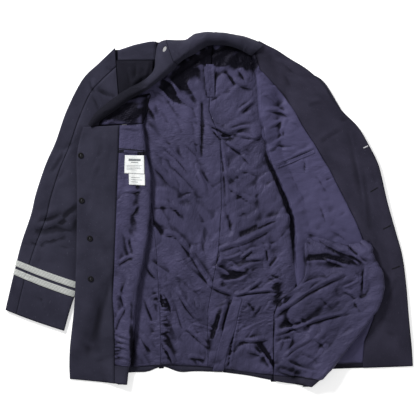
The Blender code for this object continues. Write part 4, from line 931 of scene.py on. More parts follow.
def to_neck(points, t, short=0.0):
    """Draw the top of a back panel to the shoulder's line and into the neck."""
    marks_x, marks_y = zip(*NECK_EDGE)
    top = np.interp(points[:, 0], marks_x, marks_y) - short
    pull = np.where(t >= 1, 1, smoothstep((points[:, 1] - NECK_PULL_FROM_Y) / NECK_PULL_REACH) * t ** 6)
    points[:, 1] += (top - points[:, 1]) * pull
    return points


def back_right(s, t):
    """The right back on the surface, and past WRAP_FROM its turn over the top of the shoulder."""
    body = np.clip(t / WRAP_FROM, 0, 1)
    points = to_neck(level_panel(BACK_RIGHT, FLOOR)(s, body), body, WRAP_RADIUS)
    angle = math.pi * np.clip((t - WRAP_FROM) / (WRAP_TO - WRAP_FROM), 0, 1)
    reach = points[:, 1] - SEAM_LINE - GAP
    points[:, 1] += WRAP_RADIUS * np.sin(angle) - np.clip((t - WRAP_TO) / (1 - WRAP_TO), 0, 1) * reach
    points[:, 2] += WRAP_RADIUS * (1 - np.cos(angle))
    return points


def shoulder_right(s, t):
    """The part of the right front between armhole, shoulder seam and lapel, outside up."""
    row = along(SHOULDER_RIGHT, t)
    x, y = on_line(row, s)
    z = FLOOR + 2 * WRAP_RADIUS + SHOULDER_CROWN * np.sin(math.pi * s) * np.sin(math.pi * t)
    return np.stack([x, y, z], axis=1)


def sleeve(table):
    """A flattened tube: s runs round it from its left edge over the upper side, t from the cuff up."""
    def place(s, t):
        row = along(table, t)
        from_left = 2 * np.minimum(s % 1, 1 - s % 1)
        radius = row.depth / 2
        wide = np.hypot(row.x_in - row.x_out, row.y_in - row.y_out)
        from_edge = np.minimum(from_left, 1 - from_left)
        angle = math.pi / 2 * np.clip(from_edge / SLEEVE_END, 0, 1)
        flat_share = np.maximum(from_edge - SLEEVE_END, 0) / (1 - 2 * SLEEVE_END)
        inward = (radius * (1 - np.cos(angle)) + (wide - 2 * radius) * flat_share) / wide
        share = np.where(from_left < 0.5, inward, 1 - inward)
        x = row.x_out + (row.x_in - row.x_out) * share + 4 * share * (1 - share) * row.bow
        y = row.y_out + (row.y_in - row.y_out) * share
        side = np.where(s % 1 < 0.5, 1, -1)
        z = SLEEVE_FLOOR + row.floor + radius * (1 + side * np.sin(angle))
        return np.stack([x, y, z], axis=1)
    return place


def roll(table):
    """A rolled edge: s from its outer foot over the crest to its inner foot, t along it."""
    def place(s, t):
        row = along(table, t)
        angle = math.pi * s
        outer = s < 0.5
        lean, rise = np.abs(np.cos(angle)), np.sin(angle)
        x = row.x_top + (np.where(outer, row.x_out, row.x_in) - row.x_top) * lean
        y = row.y_top + (np.where(outer, row.y_out, row.y_in) - row.y_top) * lean
        foot = np.where(outer, row.z_out, row.z_in)
        return np.stack([x, y, foot + (row.z_top - foot) * rise], axis=1)
    return place


def right_side_seam(y):
    """The seam between the right back and side panels."""
    rows = along(BACK_RIGHT, np.linspace(0, 1, FoldedPanel.edge_lines))
    return np.interp(y, rows.y_left, rows.x_left)


def back_lining(table, seam_side):
    """A lining on a level back panel: its centre edge follows the lining's own seam."""
    def place(s, t):
        row = along(table, t)
        left, right = row.x_left, row.x_right
        if seam_side == "right":
            right = seam_x(LINING_BACK_SEAM, row.y_right) - GAP
        elif seam_side == "left":
            left = seam_x(LINING_BACK_SEAM, row.y_left) + GAP
        else:
            right = right_side_seam(row.y_right) - SIDE_SEAM_GAP
        x = left + (right - left) * s
        y = row.y_left + (row.y_right - row.y_left) * s
        points = np.stack([x, y, np.full_like(x, FLOOR + SATIN_LIFT)], axis=1)
        if seam_side == "right":
            points = to_neck(points, t)
            limit = np.where(x < WRAP_TO_X, LINING_WRAP_TOP, points[:, 1])
            points[:, 1] = np.minimum(points[:, 1], limit)
        points[:, 1] += BACK_HEM * (1 - t) ** BACK_HEM_FADE
        free = (smoothstep((x - FRONT_RIGHT_PANEL.edge(y) - FOLD_REACH) / FREE_REACH)
                * smoothstep((FRONT_LEFT_PANEL.edge(y) - x - FOLD_REACH) / FREE_REACH))
        points[:, 2] += np.clip(LINING_ROOM / 2 + folds(x, y, BACK_FOLDS), 0, HIGHEST_FOLD) * free
        return points
    return place


# -------- creases

def in_plan(x, y):
    """A place on the drawing's grid, in mm."""
    return (x - GRID_X) * GRID, (GRID_Y - y) * GRID


class Creases:
    """Listed and scattered creases. Each is a ridge with a sharper valley along one side."""
    reach_widths = 3.2
    valley_share = 0.9
    valley_width = 0.6
    valley_power = 1.6

    def __init__(self, table):
        self.lines = [(np.array(row[:2]), np.array(row[2:4]), *row[4:]) for row in table]

    def __call__(self, x, y):
        total = np.zeros_like(x)
        for start, end, bend, width, height in self.lines:
            run = end - start
            length = np.hypot(*run)
            run = run / length
            reach = self.reach_widths * width + abs(bend)
            low, high = np.minimum(start, end) - reach, np.maximum(start, end) + reach
            near = (x > low[0]) & (x < high[0]) & (y > low[1]) & (y < high[1])
            if not near.any():
                continue
            dx, dy = x[near] - start[0], y[near] - start[1]
            far = (dx * run[0] + dy * run[1]) / length
            side = dy * run[0] - dx * run[1] - bend * 4 * far * (1 - far)
            taper = np.clip(far, 0, 1) * np.clip(1 - far, 0, 1) * 4
            past = np.maximum(np.maximum(-far, far - 1), 0) * length
            fade = np.sqrt(taper) * np.exp(-(past / width) ** 2)
            ridge = np.exp(-((side - width) / width) ** 2)
            valley = np.exp(-(np.abs(side) / (self.valley_width * width)) ** self.valley_power)
            total[near] += height * fade * (ridge - self.valley_share * valley)
        return total


def drawn(table):
    """The creases of a table on the drawing's grid."""
    return Creases([Crease(*in_plan(*row[:2]), *in_plan(*row[2:4]), *row[4:]) for row in table])


class Facets:
    """Crumple of tilted patches that pass into each other across narrow bends."""
    jitter = 0.45
    batch = 4000

    def __init__(self, crumple):
        dice = np.random.default_rng(crumple.seed)
        turn = math.radians(crumple.lean)
        self.axes = np.array([[math.cos(turn) / crumple.stretch, math.sin(turn) / crumple.stretch],
                              [-math.sin(turn), math.cos(turn)]])
        (x_low, y_low), (x_high, y_high), size = crumple.low, crumple.high, crumple.size
        corners = np.array([(x, y) for x in (x_low, x_high) for y in (y_low, y_high)], float)
        corners = corners @ self.axes.T
        start, end = corners.min(axis=0) - size, corners.max(axis=0) + size
        u, v = np.meshgrid(np.arange(start[0], end[0], size), np.arange(start[1], end[1], size))
        self.centres = np.column_stack([u.ravel(), v.ravel()])
        self.centres += dice.uniform(-self.jitter, self.jitter, self.centres.shape) * size
        self.slopes = dice.normal(0, crumple.slope, self.centres.shape)
        self.sharp = crumple.sharp

    def __call__(self, x, y):
        places = np.column_stack([x, y]) @ self.axes.T
        height = np.empty(len(places))
        for start in range(0, len(places), self.batch):
            off = places[start:start + self.batch, None] - self.centres
            away = np.hypot(off[..., 0], off[..., 1])
            share = np.exp(-self.sharp * (away - away.min(axis=1)[:, None]))
            tilt = (off * self.slopes).sum(axis=2)
            height[start:start + self.batch] = (share * tilt).sum(axis=1) / share.sum(axis=1)
        return height


def pool_shade(x, y):
    """Depth of the painted shade in hollows that the cloth around them closes in."""
    total = np.zeros_like(x)
    for pool in POOLS:
        turn = math.radians(pool.lean)
        middle_x, middle_y = in_plan(pool.x, pool.y)
        dx, dy = x - middle_x, y - middle_y
        along_it = (dx * math.cos(turn) + dy * math.sin(turn)) / (pool.long * GRID)
        across_it = (dy * math.cos(turn) - dx * math.sin(turn)) / (pool.wide * GRID)
        total += pool.depth * np.exp(-(along_it ** 2 + across_it ** 2))
    return total


def scattered(strewn):
    """Small creases strewn over a region, most of them leaning the same way."""
    least, narrowest, widening, bending = 0.3, 2.0, 2.8, 0.12
    dice = np.random.default_rng(strewn.seed)
    table = []
    for _ in range(strewn.count):
        x, y = dice.uniform(strewn.x_low, strewn.x_high), dice.uniform(strewn.y_low, strewn.y_high)
        turn = math.radians(dice.normal(strewn.lean, strewn.spread))
        half = dice.uniform(least, 1.0) * strewn.longest / 2
        dx, dy = half * math.cos(turn), half * math.sin(turn)
        size = dice.uniform(least, 1.0)
        bend = dice.normal(0, bending) * strewn.longest
        table.append(Crease(x - dx, y - dy, x + dx, y + dy, bend, narrowest + widening * size,
                            strewn.highest * size * dice.choice((-1, 1))))
    return Creases(table)


def puckers(row):
    """Short creases square to a straight seam that is drawn up along its stitches."""
    off_seam, shortest, turning, narrowest, widening = 2.0, 0.5, 0.4, 2.4, 1.4
    dice = np.random.default_rng(row.count)
    table = []
    for y in np.linspace(row.y_low, row.y_high, row.count):
        x = row.x + row.slope * (y - row.y) + dice.uniform(-off_seam, off_seam)
        side = dice.choice((-1, 1))
        long = row.reach * dice.uniform(shortest, 1.0)
        y_to = y + dice.uniform(-turning, turning) * long
        table.append(Crease(x, y, x + side * long, y_to, 0, narrowest + dice.uniform(0, widening),
                            row.height * dice.uniform(shortest, 1.0)))
    return Creases(table)


def added(*sources):
    def height(x, y):
        return sum(source(x, y) for source in sources)
    return height


def crumpled(table):
    return added(*(Facets(row) for row in table))


# -------- finishes

def node_group(name, inputs, outputs):
    """A shader group with named inputs, each (kind, name, default), and outputs, each (kind, name)."""
    group = bpy.data.node_groups.new(name, "ShaderNodeTree")
    for kind, label, value in inputs:
        socket = group.interface.new_socket(label, in_out="INPUT", socket_type="NodeSocket" + kind)
        if value is not None:
            socket.default_value = value
    for kind, label in outputs:
        group.interface.new_socket(label, in_out="OUTPUT", socket_type="NodeSocket" + kind)
    return group, group.nodes.new("NodeGroupInput").outputs, group.nodes.new("NodeGroupOutput").inputs


def feed(tree, socket, value):
    if isinstance(value, bpy.types.NodeSocket):
        tree.links.new(value, socket)
    elif value is not None:
        socket.default_value = value


def node(tree, kind, inputs=None, **settings):
    made = tree.nodes.new("ShaderNode" + kind)
    for key, value in settings.items():
        setattr(made, key, value)
    for key, value in (inputs or {}).items():
        feed(tree, made.inputs[key], value)
    return made


def sums(tree, operation, a, b=None):
    made = node(tree, "Math", operation=operation)
    for socket, value in zip(made.inputs, (a, b)):
        feed(tree, socket, value)
    return made.outputs[0]


def ramp(tree, value, low, high, to_low=0.0, to_high=1.0):
    made = node(tree, "MapRange", {"Value": value, "From Min": low, "From Max": high, "To Min": to_low,
                                   "To Max": to_high}, interpolation_type="SMOOTHSTEP")
    return made.outputs["Result"]


def noise(tree, vector, scale, detail=3.0, rough=0.55):
    return node(tree, "TexNoise", {"Vector": vector, "Scale": scale, "Detail": detail,
                                   "Roughness": rough}).outputs["Fac"]


def wave(tree, value, pitch):
    """A sine wave along a value, one turn to a pitch in metres."""
    return sums(tree, "SINE", sums(tree, "MULTIPLY", value, math.tau / pitch))


def sharp_bends(tree, value):
    """Creased where a smooth value passes its middle."""
    return sums(tree, "ABSOLUTE", sums(tree, "SUBTRACT", value, 0.5))


def mixed(tree, share, a, b):
    made = node(tree, "Mix", data_type="RGBA")
    factor, first, second = (made.inputs[k] for k in (0, 6, 7))
    feed(tree, factor, share)
    feed(tree, first, a)
    feed(tree, second, b)
    return made.outputs[2]


def twill_group():
    """Diagonal ribs of a serge, with yarns that vary in thickness and stray light fibres."""
    group, given, out = node_group("serge", (
        ("Vector", "Cloth", None), ("Float", "Pitch", 0.0011), ("Float", "Fibres", 0.5)),
        (("Float", "Height"), ("Float", "Shade"), ("Float", "Fibre")))
    part = node(group, "SeparateXYZ", {"Vector": given["Cloth"]}).outputs
    diagonal = sums(group, "ADD", part["X"], sums(group, "MULTIPLY", part["Y"], 0.62))
    wander = noise(group, given["Cloth"], scale=420.0, detail=2.0)
    turns = sums(group, "ADD", sums(group, "DIVIDE", diagonal, given["Pitch"]), wander)
    rib = sums(group, "SINE", sums(group, "MULTIPLY", turns, math.tau))
    yarn = noise(group, given["Cloth"], scale=1500.0, detail=2.0)
    feed(group, out["Height"], sums(group, "ADD", sums(group, "MULTIPLY", rib, 0.35), yarn))
    worn = noise(group, given["Cloth"], scale=14.0, detail=4.0)
    feed(group, out["Shade"], ramp(group, worn, 0.3, 0.7))
    streak = node(group, "Mapping", {"Vector": given["Cloth"], "Scale": (1.0, 0.18, 1.0),
                                     "Rotation": (0, 0, 0.6)}).outputs[0]
    fibre = noise(group, streak, scale=900.0, detail=1.0, rough=0.4)
    feed(group, out["Fibre"], sums(group, "MULTIPLY", ramp(group, fibre, 0.70, 0.78), given["Fibres"]))
    return group


def satin_group():
    """Fine crumple, slack patches and thread lines of a lining satin."""
    group, given, out = node_group("lining_satin", (
        ("Vector", "Cloth", None), ("Float", "Crumple", 1.0)),
        (("Float", "Height"), ("Float", "Shade"), ("Float", "Gloss")))
    wander = {"Vector": given["Cloth"], "Scale": 22.0, "Detail": 2.0}
    warp = node(group, "TexNoise", wander).outputs["Color"]
    spread = node(group, "VectorMath", operation="SCALE")
    feed(group, spread.inputs[0], warp)
    feed(group, spread.inputs["Scale"], 0.02)
    bent = node(group, "VectorMath", operation="ADD")
    feed(group, bent.inputs[0], given["Cloth"])
    feed(group, bent.inputs[1], spread.outputs[0])
    large = sharp_bends(group, noise(group, bent.outputs[0], scale=38.0))
    small = sharp_bends(group, noise(group, bent.outputs[0], scale=110.0))
    crumple = sums(group, "ADD", sums(group, "MULTIPLY", large, 3.0), small)
    lines = node(group, "Mapping", {"Vector": given["Cloth"], "Scale": (1.0, 0.08, 1.0)})
    thread = noise(group, lines.outputs[0], scale=2600.0, detail=1.0)
    height = sums(group, "ADD", sums(group, "MULTIPLY", crumple, given["Crumple"]),
                  sums(group, "MULTIPLY", thread, 0.02))
    feed(group, out["Height"], height)
    feed(group, out["Shade"], ramp(group, noise(group, given["Cloth"], scale=9.0), 0.3, 0.7))
    rubbed = noise(group, given["Cloth"], scale=30.0, detail=4.0)
    feed(group, out["Gloss"], ramp(group, rubbed, 0.3, 0.7))
    return group


def crease_shade_group():
    """Painted shade: the colour goes darker where the cloth lies in a crease or a pool of shade."""
    group, given, out = node_group("crease_shade", (
        ("Color", "Colour", None), ("Color", "Deep", None), ("Float", "Hollow", 0.0),
        ("Float", "Starts", 0.2), ("Float", "Full", 3.0)), (("Color", "Colour"),))
    share = ramp(group, given["Hollow"], given["Starts"], given["Full"])
    feed(group, out["Colour"], mixed(group, share, given["Colour"], given["Deep"]))
    return group


def fine_wear_group():
    """Fine lighter wear in a colour, and a gloss that wanders with it."""
    group, given, out = node_group("fine_wear", (
        ("Vector", "Place", None), ("Float", "Grain", 400.0), ("Color", "Colour", None),
        ("Color", "Worn", None), ("Float", "Roughness", 0.5)),
        (("Color", "Colour"), ("Float", "Roughness")))
    wear = noise(group, given["Place"], given["Grain"], detail=4.0)
    worn = ramp(group, wear, 0.35, 0.7)
    feed(group, out["Colour"], mixed(group, worn, given["Colour"], given["Worn"]))
    spread = ramp(group, wear, 0.3, 0.7, -0.08, 0.08)
    feed(group, out["Roughness"], sums(group, "ADD", given["Roughness"], spread))
    return group


def placed(tree, group, **values):
    made = tree.nodes.new("ShaderNodeGroup")
    made.node_tree = group
    for key, value in values.items():
        feed(tree, made.inputs[key], value)
    return made.outputs


def new_material(name, roughness, metallic=0.0):
    made = bpy.data.materials.new(name)
    made.use_nodes = True
    shader = made.node_tree.nodes["Principled BSDF"]
    shader.inputs["Roughness"].default_value = roughness
    shader.inputs["Metallic"].default_value = metallic
    return made, made.node_tree, shader.inputs


def cloth_map(tree):
    return node(tree, "UVMap", uv_map="cloth").outputs[0]


def bump(tree, height, strength, distance):
    return node(tree, "Bump", {"Height": height, "Strength": strength, "Distance": distance}).outputs[0]


def in_creases(tree, group, colour, deep, starts, full):
    """The painted shade of creases and shade pools, read from the grid's own hollow attribute."""
    hollow = node(tree, "Attribute", attribute_name="hollow").outputs["Fac"]
    return placed(tree, group, Colour=colour, Deep=(*deep, 1), Hollow=hollow, Starts=starts,
                  Full=full)["Colour"]


def serge(name, dark, light, groups, fibres=0.4):
    made, tree, shader = new_material(name, roughness=0.86)
    weave = placed(tree, groups["serge"], Cloth=cloth_map(tree), Fibres=fibres)
    base = mixed(tree, weave["Shade"], (*dark, 1), (*light, 1))
    stray = mixed(tree, weave["Fibre"], base, (0.12, 0.12, 0.17, 1))
    # painted shade: the colour the wool goes to in its creases and shade pools
    deep = tuple(0.4 * c for c in dark)
    shaded = in_creases(tree, groups["crease_shade"], stray, deep, starts=0.2, full=3.0)
    feed(tree, shader["Base Color"], shaded)
    feed(tree, shader["Normal"], bump(tree, weave["Height"], strength=0.5, distance=0.0006))
    shader["Sheen Weight"].default_value = 0.03
    shader["Sheen Roughness"].default_value = 0.45
    shader["Sheen Tint"].default_value = (0.55, 0.58, 0.75, 1)
    shader["Specular IOR Level"].default_value = 0.08
    return made


def satin(name, dark, light, groups, crumple=1.0):
    made, tree, shader = new_material(name, roughness=0.4)
    weave = placed(tree, groups["satin"], Cloth=cloth_map(tree), Crumple=crumple)
    base = mixed(tree, weave["Shade"], (*dark, 1), (*light, 1))
    # painted shade: the near-black the satin goes to in its creases and shade pools
    deep = tuple(0.06 * c for c in dark)
    shaded = in_creases(tree, groups["crease_shade"], base, deep, starts=0.15, full=2.2)
    feed(tree, shader["Base Color"], shaded)
    feed(tree, shader["Roughness"], ramp(tree, weave["Gloss"], 0.0, 1.0, 0.44, 0.60))
    feed(tree, shader["Normal"], bump(tree, weave["Height"], strength=0.85, distance=0.0026))
    shader["Specular IOR Level"].default_value = 0.11
    shader["Specular Tint"].default_value = (0.72, 0.68, 1.0, 1)
    return made


def silver_braid():
    """Lengthwise ribs of metal thread."""
    made, tree, shader = new_material("silver_braid", roughness=0.5, metallic=0.25)
    part = node(tree, "SeparateXYZ", {"Vector": cloth_map(tree)}).outputs
    rib = wave(tree, part["Y"], pitch=0.0030)
    twist = wave(tree, sums(tree, "ADD", part["X"], part["Y"]), pitch=0.0016)
    height = sums(tree, "ADD", rib, sums(tree, "MULTIPLY", twist, 0.35))
    tarnish = ramp(tree, noise(tree, cloth_map(tree), scale=60.0, detail=4.0), 0.2, 0.6, 0.75, 1.0)
    share = sums(tree, "MULTIPLY", ramp(tree, height, -1.2, 0.9), tarnish)
    feed(tree, shader["Base Color"], mixed(tree, share, (0.20, 0.21, 0.21, 1), (0.66, 0.68, 0.65, 1)))
    feed(tree, shader["Normal"], bump(tree, height, strength=0.6, distance=0.0005))
    return made


def label_cloth():
    """White woven label with a fine rib and light soil."""
    made, tree, shader = new_material("label", roughness=0.7)
    part = node(tree, "SeparateXYZ", {"Vector": cloth_map(tree)}).outputs
    rib = wave(tree, part["Y"], pitch=0.0008)
    soil = ramp(tree, noise(tree, cloth_map(tree), scale=70.0), 0.35, 0.7)
    feed(tree, shader["Base Color"], mixed(tree, soil, (0.83, 0.84, 0.83, 1), (0.72, 0.75, 0.75, 1)))
    feed(tree, shader["Normal"], bump(tree, rib, strength=0.4, distance=0.0003))
    return made


def plain(name, colour, roughness, groups, metallic=0.0, grain=400.0):
    """A finish with fine wear in its colour and gloss, for metal and thread."""
    made, tree, shader = new_material(name, roughness, metallic)
    where = node(tree, "TexCoord").outputs["Object"]
    lighter = tuple(min(1.0, 1.5 * c + 0.01) for c in colour)
    wear = placed(tree, groups["fine_wear"], Place=where, Grain=grain, Colour=(*colour, 1),
                  Worn=(*lighter, 1), Roughness=roughness)
    feed(tree, shader["Base Color"], wear["Colour"])
    feed(tree, shader["Roughness"], wear["Roughness"])
    shader["Specular IOR Level"].default_value = 0.12
    return made


def finishes():
    """Every finish by name: its material, and the slot that its pieces take."""
    groups = {"serge": twill_group(), "satin": satin_group(), "crease_shade": crease_shade_group(),
              "fine_wear": fine_wear_group()}
    wool = serge("wool", (0.0205, 0.0200, 0.0335), (0.0310, 0.0302, 0.0490), groups)
    wool_left = serge("wool_left", (0.0215, 0.0200, 0.0345), (0.0320, 0.0296, 0.0500), groups, 0.5)
    # painted shade: a darker copy of the wool, for the right front's shoulder and the seam allowances
    # in gaps
    wool_in_shade = serge("wool_in_shade", (0.0066, 0.0064, 0.0110), (0.0122, 0.0117, 0.0192), groups, 0.2)
    lining = satin("lining", (0.035, 0.033, 0.065), (0.055, 0.051, 0.101), groups)
    # painted light: a lighter copy of the lining satin, for the left front's smooth lining and its welt
    lining_front = satin("lining_front", (0.046, 0.043, 0.088), (0.065, 0.060, 0.122), groups, 0.6)
    thread = plain("thread", (0.013, 0.013, 0.021), 0.7, groups, grain=900.0)
    pale_thread = plain("pale_thread", (0.42, 0.42, 0.44), 0.6, groups, grain=900.0)
    return {
        "wool": Finish(wool, "wool"),
        "wool_left": Finish(wool_left, "wool"),
        "wool_in_shade": Finish(wool_in_shade, "wool"),
        "lining": Finish(lining, "lining"),
        "lining_front": Finish(lining_front, "lining"),
        "silver": Finish(silver_braid(), "braid"),
        "label": Finish(label_cloth(), "label"),
        "mark": Finish(plain("label_mark", (0.16, 0.17, 0.18), 0.7, groups), "label"),
        "ring": Finish(plain("ring", (0.0015, 0.0015, 0.0022), 0.6, groups), "button"),
        "shank": Finish(plain("shank", (0.030, 0.030, 0.034), 0.5, groups, metallic=0.3), "button"),
        "thread": Finish(thread, "wool"),
        "pale_thread": Finish(pale_thread, "label"),
    }


# -------- making a piece

def in_world(x, y, z):
    return ((x - CENTRE_X) * MM, (y - CENTRE_Y) * MM, z * MM)


def new_object(name, mesh, finish):
    data = bpy.data.meshes.new(name)
    mesh.to_mesh(data)
    mesh.free()
    data.shade_smooth()
    made = bpy.data.objects.new(name, data)
    made.data.materials.append(finish.material)
    bpy.context.scene.collection.objects.link(made)
    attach(made, "root")
    return made


def cloth(name, place, looks, parts=(), **options):
    """The sheet that takes the place of a node. The small parts given with it are not used."""
    sheet = SHEETS[name]
    made = loose(name + "_cloth", place, sheet.cell, sheet.wall, looks[sheet.finish], **options)
    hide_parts(name)


def extra_strip(name, place, looks):
    """A sheet that is in the scene alone."""
    sheet = SHEETS[name]
    loose(name, place, sheet.cell, sheet.wall, looks[sheet.finish])


def loose(name, place, cell, wall, finish, keep=None, ring=False, across=None, shade=None, hole=None):
    """A grid of about one point to a cell moved to place(s, t), with its wall."""
    line = np.linspace(0, 1, RUN_POINTS)
    middle = np.full(RUN_POINTS, 0.5)
    wide = run_length(place(line, middle))
    long = run_length(place(middle, line))
    columns = across or max(LEAST_CELLS, round(wide / cell))
    rows = max(LEAST_CELLS, round(long / cell))
    mesh = bmesh.new()
    bmesh.ops.create_grid(mesh, x_segments=columns, y_segments=rows, size=0.5, calc_uvs=True)
    grid = np.array([vertex.co[:2] for vertex in mesh.verts]) + 0.5
    layer = mesh.loops.layers.uv.new("cloth")
    for face in mesh.faces:
        for corner in face.loops:
            s, t = grid[corner.vert.index]
            corner[layer].uv = (s * wide * MM, t * long * MM)
    points = place(grid[:, 0], grid[:, 1])
    # painted shade: the hollow attribute darkens the colour in creases and in the shade pools
    depth = mesh.verts.layers.float.new("hollow")
    depths = hollows(points, columns, rows)
    if shade:
        depths += shade(points[:, 0], points[:, 1])
    for vertex, point, hollow in zip(mesh.verts, points, depths):
        vertex.co = in_world(*point)
        vertex[depth] = hollow
    if keep:
        kept = dict(zip(mesh.verts, keep(grid[:, 0], grid[:, 1])))
        spare = [face for face in mesh.faces if not all(kept[vertex] for vertex in face.verts)]
        bmesh.ops.delete(mesh, geom=spare, context="FACES")
    if hole:
        open_oval(mesh, *hole)
    if ring:
        bmesh.ops.remove_doubles(mesh, verts=mesh.verts, dist=MERGE * MM)
    made = new_object(name, mesh, finish)
    solid = made.modifiers.new("wall", "SOLIDIFY")
    solid.thickness = wall * MM
    solid.offset = 0
    return made


def open_oval(mesh, x, y, wide, high, lean):
    """An oval hole: the faces inside it go, and the points just inside move onto its edge."""
    turn = math.radians(lean)
    centre = Vector(in_world(x, y, 0))
    inside = {}
    for vertex in mesh.verts:
        dx, dy = vertex.co.x - centre.x, vertex.co.y - centre.y
        across = (dx * math.cos(turn) + dy * math.sin(turn)) / (wide / 2 * MM)
        up = (dy * math.cos(turn) - dx * math.sin(turn)) / (high / 2 * MM)
        if 0 < math.hypot(across, up) < 1:
            inside[vertex] = math.hypot(across, up)
    spare = [face for face in mesh.faces if all(vertex in inside for vertex in face.verts)]
    bmesh.ops.delete(mesh, geom=spare, context="FACES")
    for vertex, share in inside.items():
        if vertex.is_valid:
            vertex.co.x = centre.x + (vertex.co.x - centre.x) / share
            vertex.co.y = centre.y + (vertex.co.y - centre.y) / share


def hollows(points, columns, rows):
    """How far each grid point lies below the cloth around it, in mm."""
    height = points[:, 2].reshape(rows + 1, columns + 1)
    around = height
    for _ in range(HOLLOW_REACH):
        wide = np.pad(around, 1, mode="edge")
        around = (wide[:-2, 1:-1] + wide[2:, 1:-1] + wide[1:-1, :-2] + wide[1:-1, 2:]) / 4
    return (around - height).ravel()


def run_length(points):
    return float(np.linalg.norm(np.diff(points, axis=0), axis=1).sum())


def raised(place, extra, held, lift=0.0):
    """A piece moved out along its normals by its creases, which die away at its edges."""
    def piece(s, t):
        flat = place(s, t)
        hold = smoothstep(np.minimum(t, 1 - t) * held.ends)
        if held.sides:
            hold = hold * smoothstep(np.minimum(s, 1 - s) * held.sides)
        rise = (extra(flat[:, 0], flat[:, 1]) - VALLEY_FLOOR) / VALLEY_ROUND
        more = VALLEY_FLOOR + VALLEY_ROUND * np.logaddexp(0, rise) * hold
        points = lifted(place, s, t, (lift + more)[:, None])
        points[:, 2] = np.maximum(points[:, 2], SATIN)
        return points
    return piece


def creased(place, held, lift, *sources):
    """A piece raised by its slack and by every source of creases."""
    def slack(x, y):
        return sum((source(x, y) for source in sources), held.slack)
    return raised(place, slack, held, lift)


def between(place, start, end, rows_from=0.0, lift=0.0):
    """A piece that lies on a panel from s=start(t) to s=end(t), lifted off it."""
    def piece(s, t):
        t = rows_from + (1 - rows_from) * t
        first, last = start(t), end(t)
        s = first + (last - first) * s
        return lifted(place, s, t, lift) if lift else place(s, t)
    return piece


def at(value):
    return lambda t: 0 * t + value


def matched_rows(place, hem_share, rows):
    """A panel whose first row of cells ends at its lining's hem."""
    def piece(s, t):
        return place(s, np.interp(t * rows, (0, 1, rows), (0, hem_share, 1)))
    return piece


def column_of(stations, k):
    return np.interp(k, [station.column for station in stations], [station.s for station in stations])


def sleeve_piece(tube, stations, first, last):
    """The part of a sleeve between two of its grid columns."""
    def place(s, t):
        return tube(column_of(stations, first + (last - first) * s) - SLEEVE_SEAM * s, t)
    return place


def smoothed(place, columns, rows):
    """A smooth surface through the points that a piece has on a coarse grid."""
    s, t = np.meshgrid(np.linspace(0, 1, columns + 1), np.linspace(0, 1, rows + 1))
    net = place(s.ravel(), t.ravel()).reshape(rows + 1, columns + 1, 3)
    net = np.concatenate([2 * net[:1] - net[1:2], net, 2 * net[-1:] - net[-2:-1]])
    net = np.concatenate([2 * net[:, :1] - net[:, 1:2], net, 2 * net[:, -1:] - net[:, -2:-1]], axis=1)

    def weights(f):
        return np.stack([-f + 2 * f ** 2 - f ** 3, 2 - 5 * f ** 2 + 3 * f ** 3,
                         f + 4 * f ** 2 - 3 * f ** 3, -f ** 2 + f ** 3])[..., None] / 2

    def piece(s, t):
        i = np.clip((s * columns).astype(int), 0, columns - 1)
        j = np.clip((t * rows).astype(int), 0, rows - 1)
        across, up = weights(s * columns - i), weights(t * rows - j)
        return sum(across[a] * up[b] * net[j + b, i + a] for a in range(4) for b in range(4))
    return piece


# -------- the jacket's pieces

RIGHT_FRONT = smoothed(FRONT_RIGHT_PANEL, *FRONT_RIGHT_NET)
LEFT_FRONT = smoothed(FRONT_LEFT_PANEL, *FRONT_LEFT_NET)
LEFT_SIDE = smoothed(BILLOW_PANEL, *BILLOW_NET)


def clear_of_fronts(x, y):
    """1 where the back lies open, 0 under the folds of the two fronts."""
    return (smoothstep((x - FRONT_RIGHT_PANEL.edge(y) - CREASE_REACH) / CREASE_FREE_REACH)
            * smoothstep((FRONT_LEFT_PANEL.edge(y) - x - CREASE_REACH) / CREASE_FREE_REACH))


def flat_strip(row):
    """A straight strip in plan, t along it and s across."""
    start, end = np.array([row.x_from, row.y_from], float), np.array([row.x_to, row.y_to], float)
    side = np.array([end[1] - start[1], start[0] - end[0]]) / np.hypot(*(end - start))

    def place(s, t):
        plan = start + (end - start) * t[:, None] + side * (s[:, None] - 0.5) * row.width
        return np.column_stack([plan, row.z_from + (row.z_to - row.z_from) * t])
    return place


def make_allowances(looks):
    for name, row in ALLOWANCES.items():
        extra_strip(name, flat_strip(row), looks)


def back_slack():
    """How far the back's linings stand off their cloth, between the folds of the two fronts."""
    hand = drawn(BACK_CREASES)
    right, left = crumpled(BACK_RIGHT_CRUMPLE), crumpled(BACK_LEFT_CRUMPLE)
    neck = crumpled(NECK_CRUMPLE)
    strewn = scattered(BACK_STREWN)
    drawn_up = added(*(puckers(row) for row in BACK_PUCKERS))

    def slack(x, y):
        side = smoothstep((x - CENTRE_X_OF_CRUMPLE) / CRUMPLE_CHANGE + 0.5)
        crumple = right(x, y) * (1 - side) + left(x, y) * side
        near_neck = smoothstep((y - NECK_CRUMPLE_FROM_Y) / NECK_CRUMPLE_REACH)
        return (HELD["back"].slack + hand(x, y) * DRAWN_SHARE + crumple + neck(x, y) * near_neck
                + strewn(x, y) + drawn_up(x, y)) * clear_of_fronts(x, y)
    return slack


def vent_slack():
    hand, crumple = drawn(BACK_CREASES), crumpled(BACK_LEFT_CRUMPLE)
    return lambda x, y: HELD["vent"].slack + hand(x, y) * VENT_SHARE + crumple(x, y)


